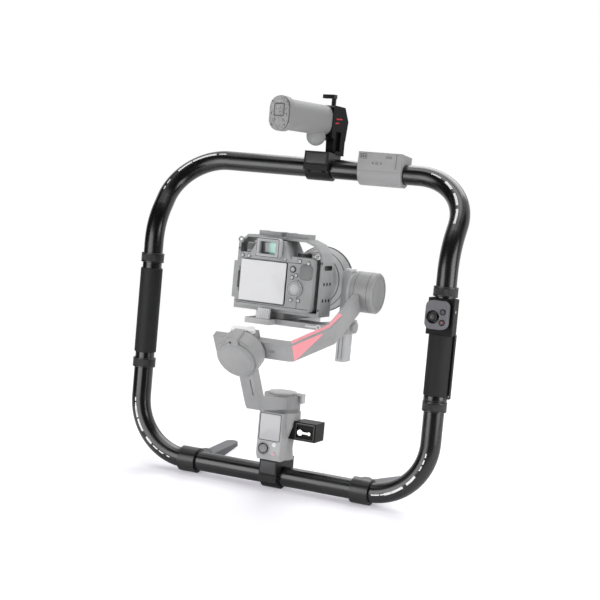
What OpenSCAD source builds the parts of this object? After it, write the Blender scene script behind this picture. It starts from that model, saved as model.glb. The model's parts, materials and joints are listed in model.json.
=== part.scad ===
// Ring rig for a camera gimbal: a leaning tube ring with two side grips and two folding legs,
// a three-axis gimbal standing on its lower tube, a caged camera, and a top handle with a module box.
// All lengths are in millimetres. The ring stands on the floor at z = 0 and leans back towards +Y.

/* [Ring] */
// Outside diameter of the ring's tubes
tube_d = 30; // [27:0.5:33]
// Wall of the ring's tubes
tube_wall = 2; // [1.5:0.25:3]
// Distance between the two side tubes, axis to axis
ring_w = 486; // [470:1:520]
// Bend radius of the two lower elbows
bottom_bend_r = 87; // [75:1:95]
// Bend radius of the two upper elbows
top_bend_r = 82; // [70:1:95]
// Height at which the side tubes start to bend back
kink_h = 332; // [326:1:350]
// Radius of the backward bend
kink_r = 98; // [80:1:120]
// Angle of the backward bend
kink_angle = 34; // [26:1:40]
// Reach from the backward bend to the axis of the top bar
top_reach = 100; // [96:1:112]
// Angle at which the ring leans back
lean = 12.3; // [9:0.1:15]

/* [Side grips] */
// Height of the lower tube joints
joint_low = 141; // [132:1:146]
// Distance from the backward bend down to the upper tube joints
joint_drop = 25; // [22:0.5:30]
// Length of the spigots inside the tube joints
spigot_l = 18; // [10:1:22]
// Wall of the knurled lock rings
lock_wall = 3; // [2:0.25:4]
// Height of the knurled lock rings
lock_h = 14.5; // [12:0.5:17]
// Bare tube left between a lock ring and a grip sleeve
bare_band = 9; // [5:0.5:12]
// Wall of the left grip sleeve
left_sleeve_wall = 2.2; // [1.5:0.1:4]
// Least wall of the right grip sleeve
right_sleeve_wall = 1.6; // [1:0.1:3]
// How far the right grip sleeve swells towards the palm
palm_swell = 0.8; // [0.5:0.1:1.2]

/* [Control head] */
// Gap between the upper right lock ring and the control head
head_gap = 5; // [4:0.25:6]
// Width of the control head
head_w = 32.5; // [31.5:0.5:34]
// Height of the control head
head_h = 41; // [39:0.5:43]
// Depth of the control head
head_depth = 12; // [11.5:0.25:14]
// Wall of the bracket round the tube
head_bracket_wall = 4; // [3.5:0.25:5]
// Width of the lug on the outer side of the bracket
head_lug = 19.5; // [19:0.5:22]

/* [Thumb sticks and buttons] */
// Radius of a thumb stick's cap
stick_r = 6.6; // [5.5:0.1:7]
// Radius of the well round a thumb stick
stick_well_r = 9.6; // [9.4:0.1:10]
// Height of a thumb stick's cap above its pivot
stick_h = 9; // [8:0.25:10]
// Depth of a thumb stick's pivot below the face
stick_pivot = 6.2; // [5.5:0.1:6.5]
// Radius of the pins on a stick's cross
cross_pin_r = 1.2; // [1:0.05:1.3]
// Radius of a push button
button_r = 3.2; // [2.5:0.1:3.4]
// Height of a push button above its face
button_proud = 1.2; // [1:0.1:2]
// Travel of a push button
button_travel = 0.8; // [0.5:0.1:1]

/* [Legs] */
// Distance from the start of a lower elbow to the middle of its leg collar
collar_off = 11; // [9:0.5:14]
// Width of a leg collar
collar_w = 28.5; // [26:0.5:30]
// Material between the lower tube and the floor
foot_wall = 4; // [3.5:0.25:5]
// Distance from the middle of a leg collar in to its hinge pin
leg_off = 8; // [5:0.5:10]
// Width of a leg
leg_w = 21; // [19:0.5:23]
// Thickness of a leg at its hinge
leg_t = 16; // [14:0.25:17]
// Thickness of a leg at its tip
leg_tip_t = 5; // [4:0.25:7]
// Distance from a leg's hinge pin to its round tip
leg_l = 99; // [85:1:105]
// Radius of a leg's hinge pin
leg_pin_r = 4; // [3:0.25:4.5]
// Clearance between a leg and the collar that it folds past
leg_gap = 1.5; // [1:0.25:3]
// Angle at which the right leg is swung out
right_swing = 32; // [0:1:35]

/* [Base clamp] */
// Width of the clamp on the lower tube
base_clamp_w = 29; // [27:0.5:32]
// Clamp material in front of the lower tube
base_clamp_front = 10; // [9:0.5:12]
// Clamp material behind the lower tube
base_clamp_rear = 21; // [19:0.5:24]
// Clamp material above the lower tube
base_clamp_top = 11; // [10:0.5:14]
// Height of the clamp's split above the tube's axis
clamp_split = 3; // [2:0.25:4]
// Gap in a clamp's split
split_gap = 0.6; // [0.3:0.1:1]
// Radius of a clamp screw
screw_r = 2.5; // [2:0.25:3]

/* [Gimbal handle] */
// Distance from the lower tube's axis back to the pan axis
pan_back = 6; // [4:0.5:8]
// Height of the handle above the base clamp
handle_h = 73; // [70:0.5:78]
// Width of the handle's front face
handle_w = 39; // [38:0.5:42]
// Distance from the pan axis to the handle's front face
handle_front = 36; // [34:0.5:38]
// Radius of the handle's head under the pan motor
handle_r = 30; // [29:0.5:31]
// Radius of the handle's waist
handle_waist_r = 22; // [20:0.5:24]
// Height of the display on the handle
display_h = 42; // [38:0.5:43]

/* [Side bracket] */
// Width of the bracket on the handle's right
bracket_w = 35; // [33:0.5:38]
// Depth of the bracket
bracket_depth = 33; // [30:0.5:36]
// Height of the bracket
bracket_h = 28; // [26:0.5:30]
// Radius of the tapped accessory hole in the bracket
tapped_r = 2.55; // [2.4:0.05:2.7]
// Depth of the tapped accessory hole
tapped_l = 10; // [8:0.5:12]

/* [Pan axis] */
// Radius of the pan motor
pan_r = 30; // [29:0.5:31]
// Height of the pan motor's fixed half
pan_base_h = 5; // [4:0.25:6]
// Height of the pan motor's turning half
pan_hub_h = 20; // [18:0.5:22]
// Width of the pan arm
pan_arm_w = 22; // [20:0.5:24]
// Distance from the pan axis to the middle of the pan arm's width
pan_arm_off = 8; // [6:0.5:9]
// Rise of the pan arm from its hub to its front corner
pan_arm_lift = 8; // [6:0.5:10]

/* [Roll axis] */
// Height of the tilt axis above the handle
tilt_rise = 193; // [189:0.5:198]
// Angle of the roll axis above the ring's own level
roll_rise = 31.7; // [30:0.1:33]
// Distance along the roll axis from the tilt axis to the roll motor's cap
roll_reach = 199; // [196:0.5:204]
// Radius of the roll motor
roll_r = 32.5; // [31.5:0.5:33.5]
// Length of the roll motor
roll_l = 28; // [26:0.5:30]
// Height of the roll arm
roll_arm_h = 28; // [26:0.5:30]
// Depth of the roll bar
roll_bar_t = 11; // [10:0.5:12]
// Wall of the jaws that hold the roll bar
roll_jaw = 10; // [9:0.25:11]

/* [Tilt axis] */
// Distance from the middle of the gimbal to the tilt motor's inner face
tilt_in = 103; // [102.5:0.5:106]
// Length of the tilt motor
tilt_l = 36; // [34:0.5:40]
// Radius of the tilt motor
tilt_r = 30; // [28:0.5:31]
// Width of the upright post on the tilt motor
post_w = 13.5; // [12:0.25:15]
// Depth of the upright post
post_depth = 26; // [24:0.5:28]
// Length of the post below the tilt axis
post_drop = 106; // [104:0.5:108]
// Length of the post above the tilt axis
post_rise = 28; // [28:0.5:30]

/* [Camera plate] */
// Distance from the tilt axis down to the plate's top
plate_drop = 50; // [49:0.5:52]
// Thickness of the plate
plate_t = 8; // [7:0.25:9]
// Distance from the pan axis to the plate's front edge
plate_front = 68; // [64:0.5:70]
// Thickness of the sliding quick-release plate
slide_t = 9.7; // [9:0.1:10.5]
// Wall of the plate's collar round the post
plate_collar = 3.5; // [3:0.25:4]

/* [Camera] */
// Width of the camera body
camera_w = 122; // [120:0.5:124]
// Height of the camera body without its viewfinder
camera_h = 79; // [77:0.5:81]
// Depth of the camera body
camera_d = 56; // [53:0.5:58]
// Distance from the pan axis to the camera's back
camera_back = 78; // [77:0.5:80]
// Distance from the lens axis to the camera's left side
camera_left = 52; // [50:0.5:53]
// Width of the hinged screen
screen_w = 76; // [74:0.5:76.5]
// Height of the hinged screen
screen_h = 61; // [58:0.5:62]
// Thickness of the hinged screen
screen_t = 4; // [3:0.25:5]
// Radius of the rear wheel
wheel_r = 12; // [11:0.25:12.5]
// Radius of the mode dial
dial_r = 10; // [9:0.25:10.5]
// Wall of the cage round the camera
cage_wall = 4; // [3:0.25:5]
// Depth of the cage
cage_d = 40; // [38:0.5:44]
// Thickness of the rail on the cage's left side
side_rail_t = 6; // [4:0.5:7]
// Clear height between the camera body and the cage's top bar
cage_rise = 26; // [25.5:0.5:28]

/* [Lens] */
// Height of the lens axis above the camera's base
lens_up = 39.5; // [39:0.5:41]
// Radius of the lens barrel
lens_r = 36; // [35:0.25:37]
// Length of the lens barrel
lens_l = 104; // [98:0.5:106]
// Length of the focus ring
focus_l = 26; // [22:0.5:30]
// Height of the focus ring above the barrel
focus_proud = 3; // [2:0.25:4]
// Radius of the hood's front rim
hood_r = 52; // [48:0.5:54]
// Length of the hood
hood_l = 42; // [38:0.5:44]
// Wall of the hood
hood_wall = 2; // [1.5:0.25:3]

/* [Top handle] */
// Angle at which the top fittings lean on the top bar
top_tilt = 4.5; // [0:0.5:8]
// Width of the top clamp
top_clamp_w = 40; // [38:0.5:44]
// Clamp material round the top bar
top_clamp_wall = 4; // [3.5:0.25:5]
// Clamp material above the top bar
top_clamp_top = 8; // [7:0.5:10]
// Height of the adapter above the top clamp
adapter_h = 73.5; // [72:0.5:76]
// Depth of the adapter
adapter_d = 39; // [37:0.5:42]
// Angle at which the battery grip turns to the left
grip_yaw = 13; // [10:0.5:16]
// Width of the battery grip
grip_w = 34.5; // [33:0.5:36]
// Height of the battery grip
grip_h = 46; // [44:0.5:48]
// Length of the battery grip without its cap
grip_l = 97; // [90:0.5:102]
// Length of the battery grip's cap
grip_cap_l = 13; // [10:0.5:16]

/* [Module box] */
// Distance from the middle of the ring to the module box
module_u = 68; // [66:0.5:72]
// Width of the module box
module_w = 70; // [64:0.5:74]
// Depth of the module box
module_d = 44; // [42:0.5:46]
// Height of the module box above the top bar's axis
module_h = 28; // [26:0.5:30]

/* [Fits] */
// Clearance between pieces that move past each other
gap = 0.3; // [0.2:0.05:0.4]
// Radial clearance of a pin or shaft in its bore
fit = 0.1; // [0.05:0.01:0.1]

/* [Hidden] */
$fn = 96;
over = 1;
tube_r = tube_d / 2;
axis_h = tube_r + foot_wall;
side_u = ring_w / 2;
joint_high = kink_h - joint_drop;
lock_r = tube_r + lock_wall;
spigot_r = tube_r - tube_wall - fit;
kink_back = kink_r * (1 - cos(kink_angle));
kink_up = kink_h + kink_r * sin(kink_angle);
splice_l = 4;
seam = 0.01;
top_back = kink_back + top_reach * sin(kink_angle);
top_up = kink_up + top_reach * cos(kink_angle);
sleeve_low = joint_low + lock_h / 2 + bare_band;
sleeve_high = joint_high - lock_h / 2 - bare_band;
left_sleeve_r = tube_r + left_sleeve_wall;
palm_r = tube_r + right_sleeve_wall + palm_swell;
palm_off = palm_swell / sqrt(2);
head_up = joint_high - lock_h / 2 - head_gap - head_h / 2;
bracket_low = head_up - head_h / 2 - 8.5;
bracket_high = joint_high - lock_h / 2 - 2;
bracket_r = tube_r + head_bracket_wall;
head_back = tube_r + 1;
head_face = head_back + head_depth;
head_off = -2;
head_stick_u = -6.6;
head_stick_up = -3;
head_button_u = 7.6;
head_button_up = [5, -10];
stick_depth = stick_pivot + 3.3;
cross_bore_l = 1.4;
button_tail = 2.2;
button_well = button_tail + button_travel + 0.6;
collar_u = side_u - bottom_bend_r - collar_off;
leg_u = collar_u - leg_off;
collar_r = tube_r + foot_wall + 0.5;
leg_pivot = collar_r + leg_gap + leg_w / 2;
lug_low = leg_t + gap;
lug_top = lug_low + 7;
pin_low = 1;
pin_head_h = 2;
pin_head_r = 1.9 * leg_pin_r;
screw_head_r = 1.5 * screw_r;
screw_head_h = 1.6 * screw_r;
base_low_r = tube_r + foot_wall + 0.5;
base_front = tube_r + base_clamp_front;
base_rear = tube_r + base_clamp_rear;
base_top = tube_r + base_clamp_top;
base_screw_back = tube_r + base_clamp_rear / 2;
base_screw_front = tube_r + base_clamp_front / 2;
handle_top = base_top + handle_h;
handle_face = pan_back - handle_front;
handle_stick_u = -8;
handle_stick_up = base_top + 17.5;
handle_button_u = 9.5;
handle_mode_up = base_top + 25;
handle_record_up = base_top + 11;
display_up = base_top + 29.5;
display_t = 1.5;
display_inset = 1.5;
trigger_w = 12;
trigger_up = base_top + 58;
trigger_pin_r = 2;
trigger_back = pan_back + handle_waist_r - 8;
bracket_u = handle_r;
bracket_back = pan_back - 14;
bracket_up = base_top + 33.5;
wing_recess = 3;
wing_u = bracket_u + 10;
wing_up = bracket_up + bracket_h * 0.44;
hub_low = handle_top + pan_base_h + gap;
hub_high = hub_low + pan_hub_h;
lever_pin_r = 5;
pan_lever_r = 21;
pan_lever_t = 3;
pan_arm_low = hub_low + 1;
pan_arm_high = hub_high - 1.5;
tilt_up = handle_top + tilt_rise;
roll_cap_t = 4.5;
roll_cap_r = roll_r - 4.5;
jaw_front = roll_l + gap;
bar_front = jaw_front + 2.4 + gap;
bar_rear = bar_front + roll_bar_t;
bar_half = roll_arm_h / 2;
jaw_w = 40;
jaw_lip = 2;
shaft_r = 5;
shaft_l = 9.5;
bar_left = -49;
bar_right = 66;
arm_t = 9.5;
arm_mid = [104, 88];
arm_high = [tilt_in + 11, 135];
roll_lever_r = 6;
roll_lever_l = 30;
roll_lever_t = 4;
post_out = tilt_in - gap - 4.2;
post_in = post_out - post_w;
hub_r = tilt_r - 3;
cap_t = 3.6;
plate_up = tilt_up - plate_drop;
plate_low = plate_up - plate_t;
plate_edge = pan_back - plate_front;
plate_left = -32;
tongue_l = 20;
tongue_right = 8;
rail_half = 26;
rail_mid = -4;
rail_rear = pan_back + 66;
collar_h = 20;
knob_r = 8.5;
knob_l = 6;
slide_low = plate_up + gap;
slide_up = slide_low + slide_t;
latch_l = 18;
latch_t = 6;
latch_h = 15;
latch_pin_r = 2;
latch_u = plate_left + 19;
latch_back = plate_edge - tongue_l + latch_t / 2 + 1.5;
cage_low = slide_up;
camera_low = cage_low + cage_wall + 1;
camera_up = camera_low + camera_h;
lens_u = -4;
camera_u0 = lens_u - camera_left;
camera_u1 = camera_u0 + camera_w;
back_w = pan_back - camera_back;
front_w = back_w + camera_d;
lens_v = camera_low + lens_up;
grip_front = 16;
grip_width = 32;
finder_w = 52;
finder_h = 21;
screen_u0 = camera_u0 + 3.5;
screen_v0 = camera_low + 8;
hinge_r = 2.2;
hinge_pin_r = 1.2;
hinge_lug = 5;
hinge_knuckle = 12;
wheel_u = camera_u1 - 27;
wheel_v = camera_low + 33.5;
wheel_t = 3;
dial_u = camera_u1 - 26;
dial_w = back_w + 24;
dial_h = 6;
shutter_u = camera_u1 - 13;
shutter_w = front_w + 6;
shutter_r = 5;
spindle_r = 2.5;
eyecup_w = 38;
eyecup_h = 29;
eyecup_d = 13;
eyecup_v = camera_up + 9.5;
cage_u0 = camera_u0 - 2 - cage_wall;
cage_u1 = camera_u1 + 6 + cage_wall;
cage_w0 = back_w + 10;
cage_top = camera_up + cage_rise;
cage_corner = 20;
shoe_h = 7;
shoe_mid = lens_u + 10;
side_rail_h = 54;
barrel_w = front_w;
mount_r = lens_r - 3;
mount_l = 8;
focus_w = barrel_w + 40;
bore_wall = 3;
clamp_out = tube_r + top_clamp_wall;
clamp_top = tube_r + top_clamp_top;
top_screw_back = tube_r + screw_head_r + 0.75;
clamp_half = top_screw_back + screw_head_r + 0.75;
adapter_front = -6;
adapter_rear = adapter_front + adapter_d;
adapter_low = clamp_top + 21;
adapter_high = clamp_top + adapter_h;
adapter_w = 38;
neck_u = adapter_w / 2;
neck_w = 18;
neck_front = adapter_front + 12;
pocket_front = adapter_front + 9;
pocket_w = 14;
pocket_h = 30;
grip_v = adapter_high - grip_h / 2 - 0.5;
grip_extra = 3;
lobe_r = 14.7;
lobe_back = lobe_r + gap;
thumb_u = 6;
thumb_back = adapter_front + 15;
thumb_r = 2.8;
thumb_h = 12;
thumb_bar = [22, 8, 6];
module_low_r = tube_r + 5.5;

// Frames: the leaning ring, the roll axis, the top bar and the turned battery grip
module leaned() {
  translate([0, 0, axis_h])
    rotate([-lean, 0, 0])
      children();
}

module on_roll_axis() {
  translate([0, pan_back - roll_reach * cos(roll_rise), tilt_up - roll_reach * sin(roll_rise)])
    rotate([roll_rise, 0, 0])
      children();
}

module on_top_bar() {
  translate([0, top_back, top_up])
    rotate([-top_tilt, 0, 0])
      children();
}

module on_grip_axis() {
  translate([0, top_back, top_up])
    rotate([0, 0, -grip_yaw])
      children();
}

// Outlines and simple solids shared by the pieces
module rounded(w, h, r) {
  square([w - 2 * r, h], center = true);
  square([w, h - 2 * r], center = true);
  for (x = [-1, 1], y = [-1, 1])
    translate([x * (w / 2 - r), y * (h / 2 - r)])
      circle(r = r);
}

module box(low, high) {
  translate(low)
    cube(high - low);
}

module bar_x(x0, x1, r) {
  translate([x0, 0, 0])
    rotate([0, 90, 0])
      cylinder(h = x1 - x0, r = r);
}

module bar_y(y0, y1, r) {
  translate([0, y0, 0])
    rotate([-90, 0, 0])
      cylinder(h = y1 - y0, r = r);
}

module along_x(x0, x1) {
  translate([x0, 0, 0])
    rotate([90, 0, 90])
      linear_extrude(x1 - x0)
        children();
}

module along_y(y0, y1) {
  translate([0, y1, 0])
    rotate([90, 0, 0])
      linear_extrude(y1 - y0)
        children();
}

module along_z(z0, z1) {
  translate([0, 0, z0])
    linear_extrude(z1 - z0)
      children();
}

module turned_x(outline) {
  rotate([0, 90, 0])
    rotate_extrude()
      polygon(outline);
}

module turned_y(outline) {
  rotate([-90, 0, 0])
    rotate_extrude()
      polygon(outline);
}

module below_floor() {
  box([-ring_w, -ring_w, -ring_w], [ring_w, ring_w, 0]);
}

// Ring tubes
module tube_outline() {
  difference() {
    circle(r = tube_r);
    circle(r = tube_r - tube_wall);
  }
}

module splice_outline() {
  difference() {
    circle(r = tube_r - tube_wall * 0.6);
    circle(r = tube_r - tube_wall * 1.4);
  }
}

module elbow(u, up, bend_r, start, angle) {
  translate([u, 0, up])
    rotate([90, 0, 0])
      rotate([0, 0, start])
        rotate_extrude(angle = angle)
          translate([bend_r, 0])
            tube_outline();
}

module bottom_tube() {
  inner_u = side_u - bottom_bend_r;
  color("#1b1b1c")
    leaned() {
      along_x(-inner_u, inner_u)
        tube_outline();
      elbow(inner_u, bottom_bend_r, bottom_bend_r, -90, 90);
      elbow(-inner_u, bottom_bend_r, bottom_bend_r, 180, 90);
      for (side = [-1, 1])
        translate([side * side_u, 0, 0])
          along_z(bottom_bend_r, joint_low)
            tube_outline();
    }
}

module top_tube() {
  inner_u = side_u - top_bend_r;
  straight = top_reach - top_bend_r;
  color("#1b1b1c")
    leaned() {
      for (side = [-1, 1]) {
        translate([side * side_u, 0, 0])
          along_z(joint_high, kink_h)
            tube_outline();
        translate([side * side_u, kink_r, kink_h])
          rotate([0, 0, -90])
            elbow(0, 0, kink_r, 0, kink_angle);
      }
      translate([0, kink_r, kink_h])
        rotate([-kink_angle, 0, 0])
          translate([0, -kink_r, 0]) {
          for (side = [-1, 1])
            translate([side * side_u, 0, 0]) {
              along_z(seam, straight)
                tube_outline();
              along_z(-splice_l, splice_l)
                splice_outline();
            }
          elbow(inner_u, straight, top_bend_r, 0, 90);
          elbow(-inner_u, straight, top_bend_r, 90, 90);
          translate([0, 0, top_reach])
            along_x(-inner_u, inner_u)
              tube_outline();
        }
    }
}

module grip_tube(side) {
  color("#222223")
    leaned()
      translate([side * side_u, 0, 0])
        difference() {
          union() {
            along_z(joint_low, joint_high)
              circle(r = tube_r);
            along_z(joint_low - spigot_l, joint_high + spigot_l)
              circle(r = spigot_r);
          }
          along_z(joint_low - spigot_l - over, joint_high + spigot_l + over)
            circle(r = spigot_r - tube_wall);
        }
}

module left_grip_tube() {
  grip_tube(-1);
}

module right_grip_tube() {
  grip_tube(1);
}

module left_grip_sleeve() {
  soft = left_sleeve_wall / 2;
  color("#161617")
    leaned()
      translate([-side_u, 0, 0])
        rotate_extrude()
          polygon([
            [tube_r, sleeve_low],
            [left_sleeve_r - soft, sleeve_low],
            [left_sleeve_r, sleeve_low + soft],
            [left_sleeve_r, sleeve_high - soft],
            [left_sleeve_r - soft, sleeve_high],
            [tube_r, sleeve_high]
          ]);
}

module palm_outline(r) {
  translate([-palm_off, -palm_off])
    circle(r = r);
}

module right_grip_sleeve() {
  color("#2a2a2b")
    leaned()
      translate([side_u, 0, 0])
        difference() {
          along_z(sleeve_low, bracket_low)
            palm_outline(palm_r);
          along_z(sleeve_low - over, bracket_low + over)
            circle(r = tube_r);
        }
}

// Knurled lock rings over the four tube joints
module lock_ring(side, up) {
  lip = 0.5;
  edge = 2.2;
  half = lock_h / 2;
  color("#141415")
    leaned()
      translate([side * side_u, 0, up])
        rotate_extrude()
          polygon([
            [tube_r + gap, -half],
            [lock_r - lip, -half],
            [lock_r, lip - half],
            [lock_r, edge - half],
            [lock_r - lip, edge + lip - half],
            [lock_r - lip, half - edge - lip],
            [lock_r, half - edge],
            [lock_r, half - lip],
            [lock_r - lip, half],
            [tube_r + gap, half]
          ]);
}

module upper_left_lock_ring() {
  lock_ring(-1, joint_high);
}

module lower_left_lock_ring() {
  lock_ring(-1, joint_low);
}

module upper_right_lock_ring() {
  lock_ring(1, joint_high);
}

module lower_right_lock_ring() {
  lock_ring(1, joint_low);
}

// Thumb sticks and push buttons, drawn with their pivot or face at the origin and pointing along -Y
module stick_well() {
  bar_y(-stick_pivot - over, stick_depth - stick_pivot, stick_well_r);
  bar_x(-stick_well_r - cross_bore_l, stick_well_r + cross_bore_l, cross_pin_r + fit);
}

module stick_cross() {
  pin_l = stick_well_r + cross_bore_l - fit;
  bar_x(-pin_l, pin_l, cross_pin_r);
  translate([0, 0, -4.4])
    cylinder(h = 8.8, r = cross_pin_r);
}

module stick() {
  ear_in = 2.2;
  ear_out = 4.2;
  ear_r = cross_pin_r + 1.3;
  bridge = [2.2, 4.2];
  difference() {
    union() {
      for (side = [-1, 1])
        translate([0, 0, side * (ear_in + ear_out) / 2])
          along_z((ear_in - ear_out) / 2, (ear_out - ear_in) / 2) {
            circle(r = ear_r);
            translate([-ear_r, -bridge[1]])
              square([2 * ear_r, bridge[1]]);
          }
      box([-ear_r, -bridge[1], -ear_out], [ear_r, -bridge[0], ear_out]);
      mirror([0, 1, 0])
        turned_y([
          [0, bridge[0]],
          [ear_r, bridge[0]],
          [ear_r, stick_h - 3],
          [stick_r - 0.8, stick_h - 3],
          [stick_r, stick_h - 2.2],
          [stick_r, stick_h - 1.2],
          [stick_r - 1.2, stick_h],
          [stick_r - 2.2, stick_h - 0.6],
          [0, stick_h - 1]
        ]);
    }
    translate([0, 0, -ear_out - over])
      cylinder(h = 2 * (ear_out + over), r = cross_pin_r + fit);
  }
}

module button(r) {
  mirror([0, 1, 0])
    turned_y([
      [0, -button_tail],
      [r, -button_tail],
      [r, button_proud - 0.5],
      [r - 0.5, button_proud],
      [0, button_proud]
    ]);
}

module button_hole(r) {
  bar_y(-over, button_well, r + fit);
}

// Control head on the right grip
module at_head(face) {
  leaned()
    translate([side_u, -face, head_up])
      children();
}

module control_bracket() {
  tail_w = 5;
  tail_back = [1, 9];
  tail_low = sleeve_low - 4;
  color("#121213")
    leaned()
      translate([side_u, 0, 0])
        difference() {
          union() {
            along_z(bracket_low, bracket_high) {
              circle(r = bracket_r);
              translate([-bracket_r, -head_back])
                square([2 * bracket_r, head_back]);
              translate([0, -bracket_r + 5])
                square([head_lug, bracket_r + 1]);
            }
            box([tube_r - 1, tail_back[0], tail_low], [tube_r + tail_w, tail_back[1], bracket_low + over]);
          }
          along_z(tail_low - over, bracket_high + over)
            circle(r = tube_r);
          along_z(tail_low - over, bracket_low)
            palm_outline(palm_r);
          box([-ring_w, -ring_w, bracket_low - over], [ring_w, -head_back, bracket_high + over]);
        }
}

module control_head() {
  color("#77777b")
    at_head(head_back)
      difference() {
        along_y(-head_depth, 0)
          translate([head_off, 0])
            rounded(head_w, head_h, 9);
        translate([head_stick_u, stick_pivot - head_depth, head_stick_up])
          stick_well();
        for (up = head_button_up)
          translate([head_button_u, -head_depth, up])
            button_hole(button_r);
      }
}

module control_stick_cross() {
  color("#8c8c8c")
    at_head(head_face - stick_pivot)
      translate([head_stick_u, 0, head_stick_up])
        stick_cross();
}

module control_stick() {
  color("#101011")
    at_head(head_face - stick_pivot)
      translate([head_stick_u, 0, head_stick_up])
        stick();
}

module control_mode_button() {
  color("#3a3a3c")
    at_head(head_face)
      translate([head_button_u, 0, head_button_up[0]])
        button(button_r);
}

module control_record_button() {
  color("#c9c9cb")
    at_head(head_face)
      translate([head_button_u, 0, head_button_up[1]])
        button(button_r);
}

// Leg collars and folding legs
module leg_collar(side) {
  lug_u = side * (leg_u - collar_u);
  color("#1a1a1b")
    translate([side * collar_u, 0, 0])
      difference() {
        union() {
          translate([0, 0, axis_h])
            bar_x(-collar_w / 2, collar_w / 2, collar_r);
          box([lug_u - leg_w / 2, 0, lug_low], [lug_u + leg_w / 2, leg_pivot, lug_top]);
          translate([lug_u, leg_pivot, lug_low])
            cylinder(h = lug_top - lug_low, r = leg_w / 2);
        }
        translate([0, 0, axis_h])
          bar_x(-2 * collar_w, 2 * collar_w, tube_r);
        translate([lug_u, leg_pivot, 0])
          cylinder(h = 2 * axis_h, r = leg_pin_r);
        below_floor();
      }
}

module left_leg_collar() {
  leg_collar(-1);
}

module right_leg_collar() {
  leg_collar(1);
}

module leg_outline() {
  circle(r = leg_w / 2);
  translate([-leg_w / 2, 0])
    square([leg_w, leg_l - leg_w / 2]);
  translate([0, leg_l - leg_w / 2])
    circle(r = leg_w / 2);
}

module leg(side, swing) {
  color("#3b3b3d")
    translate([side * leg_u, leg_pivot, 0])
      rotate([0, 0, -side * swing])
        difference() {
          intersection() {
            along_z(0, leg_t)
              leg_outline();
            along_x(-leg_w, leg_w)
              polygon([
                [-leg_w, 0],
                [leg_l + over, 0],
                [leg_l + over, leg_tip_t],
                [leg_w * 0.6, leg_t],
                [-leg_w, leg_t]
              ]);
          }
          translate([0, 0, -over])
            cylinder(h = leg_t + 2 * over, r = leg_pin_r + fit);
          translate([0, 0, -over])
            cylinder(h = over + pin_low + pin_head_h + gap, r = pin_head_r + gap);
        }
}

module left_leg() {
  leg(-1, 0);
}

module right_leg() {
  leg(1, right_swing);
}

// Socket-head screws of the clamps and the headed pins of the legs
module clamp_screw(l) {
  difference() {
    union() {
      cylinder(h = screw_head_h, r = screw_head_r);
      cylinder(h = l, r = screw_r);
    }
    translate([0, 0, -over])
      cylinder(h = over + screw_head_h * 0.6, r = screw_r * 0.8, $fn = 6);
  }
}

module screw_hole(l) {
  translate([0, 0, -tube_d])
    cylinder(h = tube_d + screw_head_h, r = screw_head_r);
  cylinder(h = l, r = screw_r);
}

module at_base_screws() {
  leaned()
    for (back = [-base_screw_front, base_screw_back])
      translate([0, back, clamp_split - split_gap - screw_head_h - 3])
        children();
}

module at_top_screws() {
  leaned()
    on_top_bar()
      for (u = [-1, 1], back = [-1, 1])
        translate([u * top_clamp_w * 0.3, back * top_screw_back, clamp_split - split_gap - screw_head_h - 2])
          children();
}

module fasteners() {
  color("#4a4a4c") {
    for (side = [-1, 1])
      translate([side * leg_u, leg_pivot, pin_low]) {
        cylinder(h = lug_top - pin_low, r = leg_pin_r);
        cylinder(h = pin_head_h, r = pin_head_r);
      }
    at_base_screws()
      clamp_screw(base_clamp_top + 4);
    at_top_screws()
      clamp_screw(top_clamp_top + 10);
  }
}

// Two-part clamp on the lower tube
module base_clamp_block() {
  color("#1d1d1e")
    difference() {
      leaned()
        difference() {
          along_x(-base_clamp_w / 2, base_clamp_w / 2)
            translate([-base_front, clamp_split])
              square([base_front + base_rear, base_top - clamp_split]);
          bar_x(-base_clamp_w, base_clamp_w, tube_r);
        }
      at_base_screws()
        screw_hole(base_clamp_top + 4);
    }
}

module base_clamp_cap() {
  cap_low = -8;
  color("#161617")
    difference() {
      leaned()
        difference() {
          union() {
            bar_x(-base_clamp_w / 2, base_clamp_w / 2, base_low_r);
            along_x(-base_clamp_w / 2, base_clamp_w / 2)
              translate([-base_front, cap_low])
                square([base_front + base_rear, clamp_split - split_gap - cap_low]);
          }
          bar_x(-base_clamp_w, base_clamp_w, tube_r);
          box([-base_clamp_w, -ring_w, clamp_split - split_gap], [base_clamp_w, ring_w, ring_w]);
        }
      at_base_screws()
        screw_hole(base_clamp_top + 4);
      below_floor();
    }
}

// Gimbal handle with its display, thumb stick, buttons and trigger
module at_handle(face) {
  leaned()
    translate([0, face, 0])
      children();
}

module handle_round() {
  translate([0, pan_back, 0])
    rotate_extrude()
      polygon([
        [0, base_top],
        [handle_waist_r + 2, base_top],
        [handle_waist_r, base_top + 16],
        [handle_waist_r + 1, base_top + 32],
        [handle_r - 1, base_top + 52],
        [handle_r, base_top + 58],
        [handle_r, handle_top],
        [0, handle_top]
      ]);
}

module gimbal_handle() {
  chin = 5;
  color("#a9a9ab")
    leaned()
      difference() {
        union() {
          handle_round();
          along_x(-handle_w / 2, handle_w / 2)
            polygon([
              [handle_face + chin, base_top],
              [pan_back, base_top],
              [pan_back, handle_top],
              [handle_face + 1.5, handle_top],
              [handle_face, handle_top - 1.5],
              [handle_face, base_top + 2 * chin]
            ]);
        }
        along_y(handle_face - over, handle_face + display_t)
          translate([0, display_up + display_h / 2])
            rounded(handle_w - 2 * display_inset, display_h, 3);
        translate([handle_stick_u, handle_face + stick_pivot, handle_stick_up])
          stick_well();
        for (up = [handle_mode_up, handle_record_up])
          translate([handle_button_u, handle_face, up])
            button_hole(button_r);
        translate([0, trigger_back, trigger_up])
          bar_x(-trigger_w / 2 - 5, trigger_w / 2 + 5, trigger_pin_r + fit);
        box(
          [-trigger_w / 2 - gap, trigger_back - 8, trigger_up - 34],
          [trigger_w / 2 + gap, pan_back + 2 * handle_r, trigger_up + 6]
        );
      }
}

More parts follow.
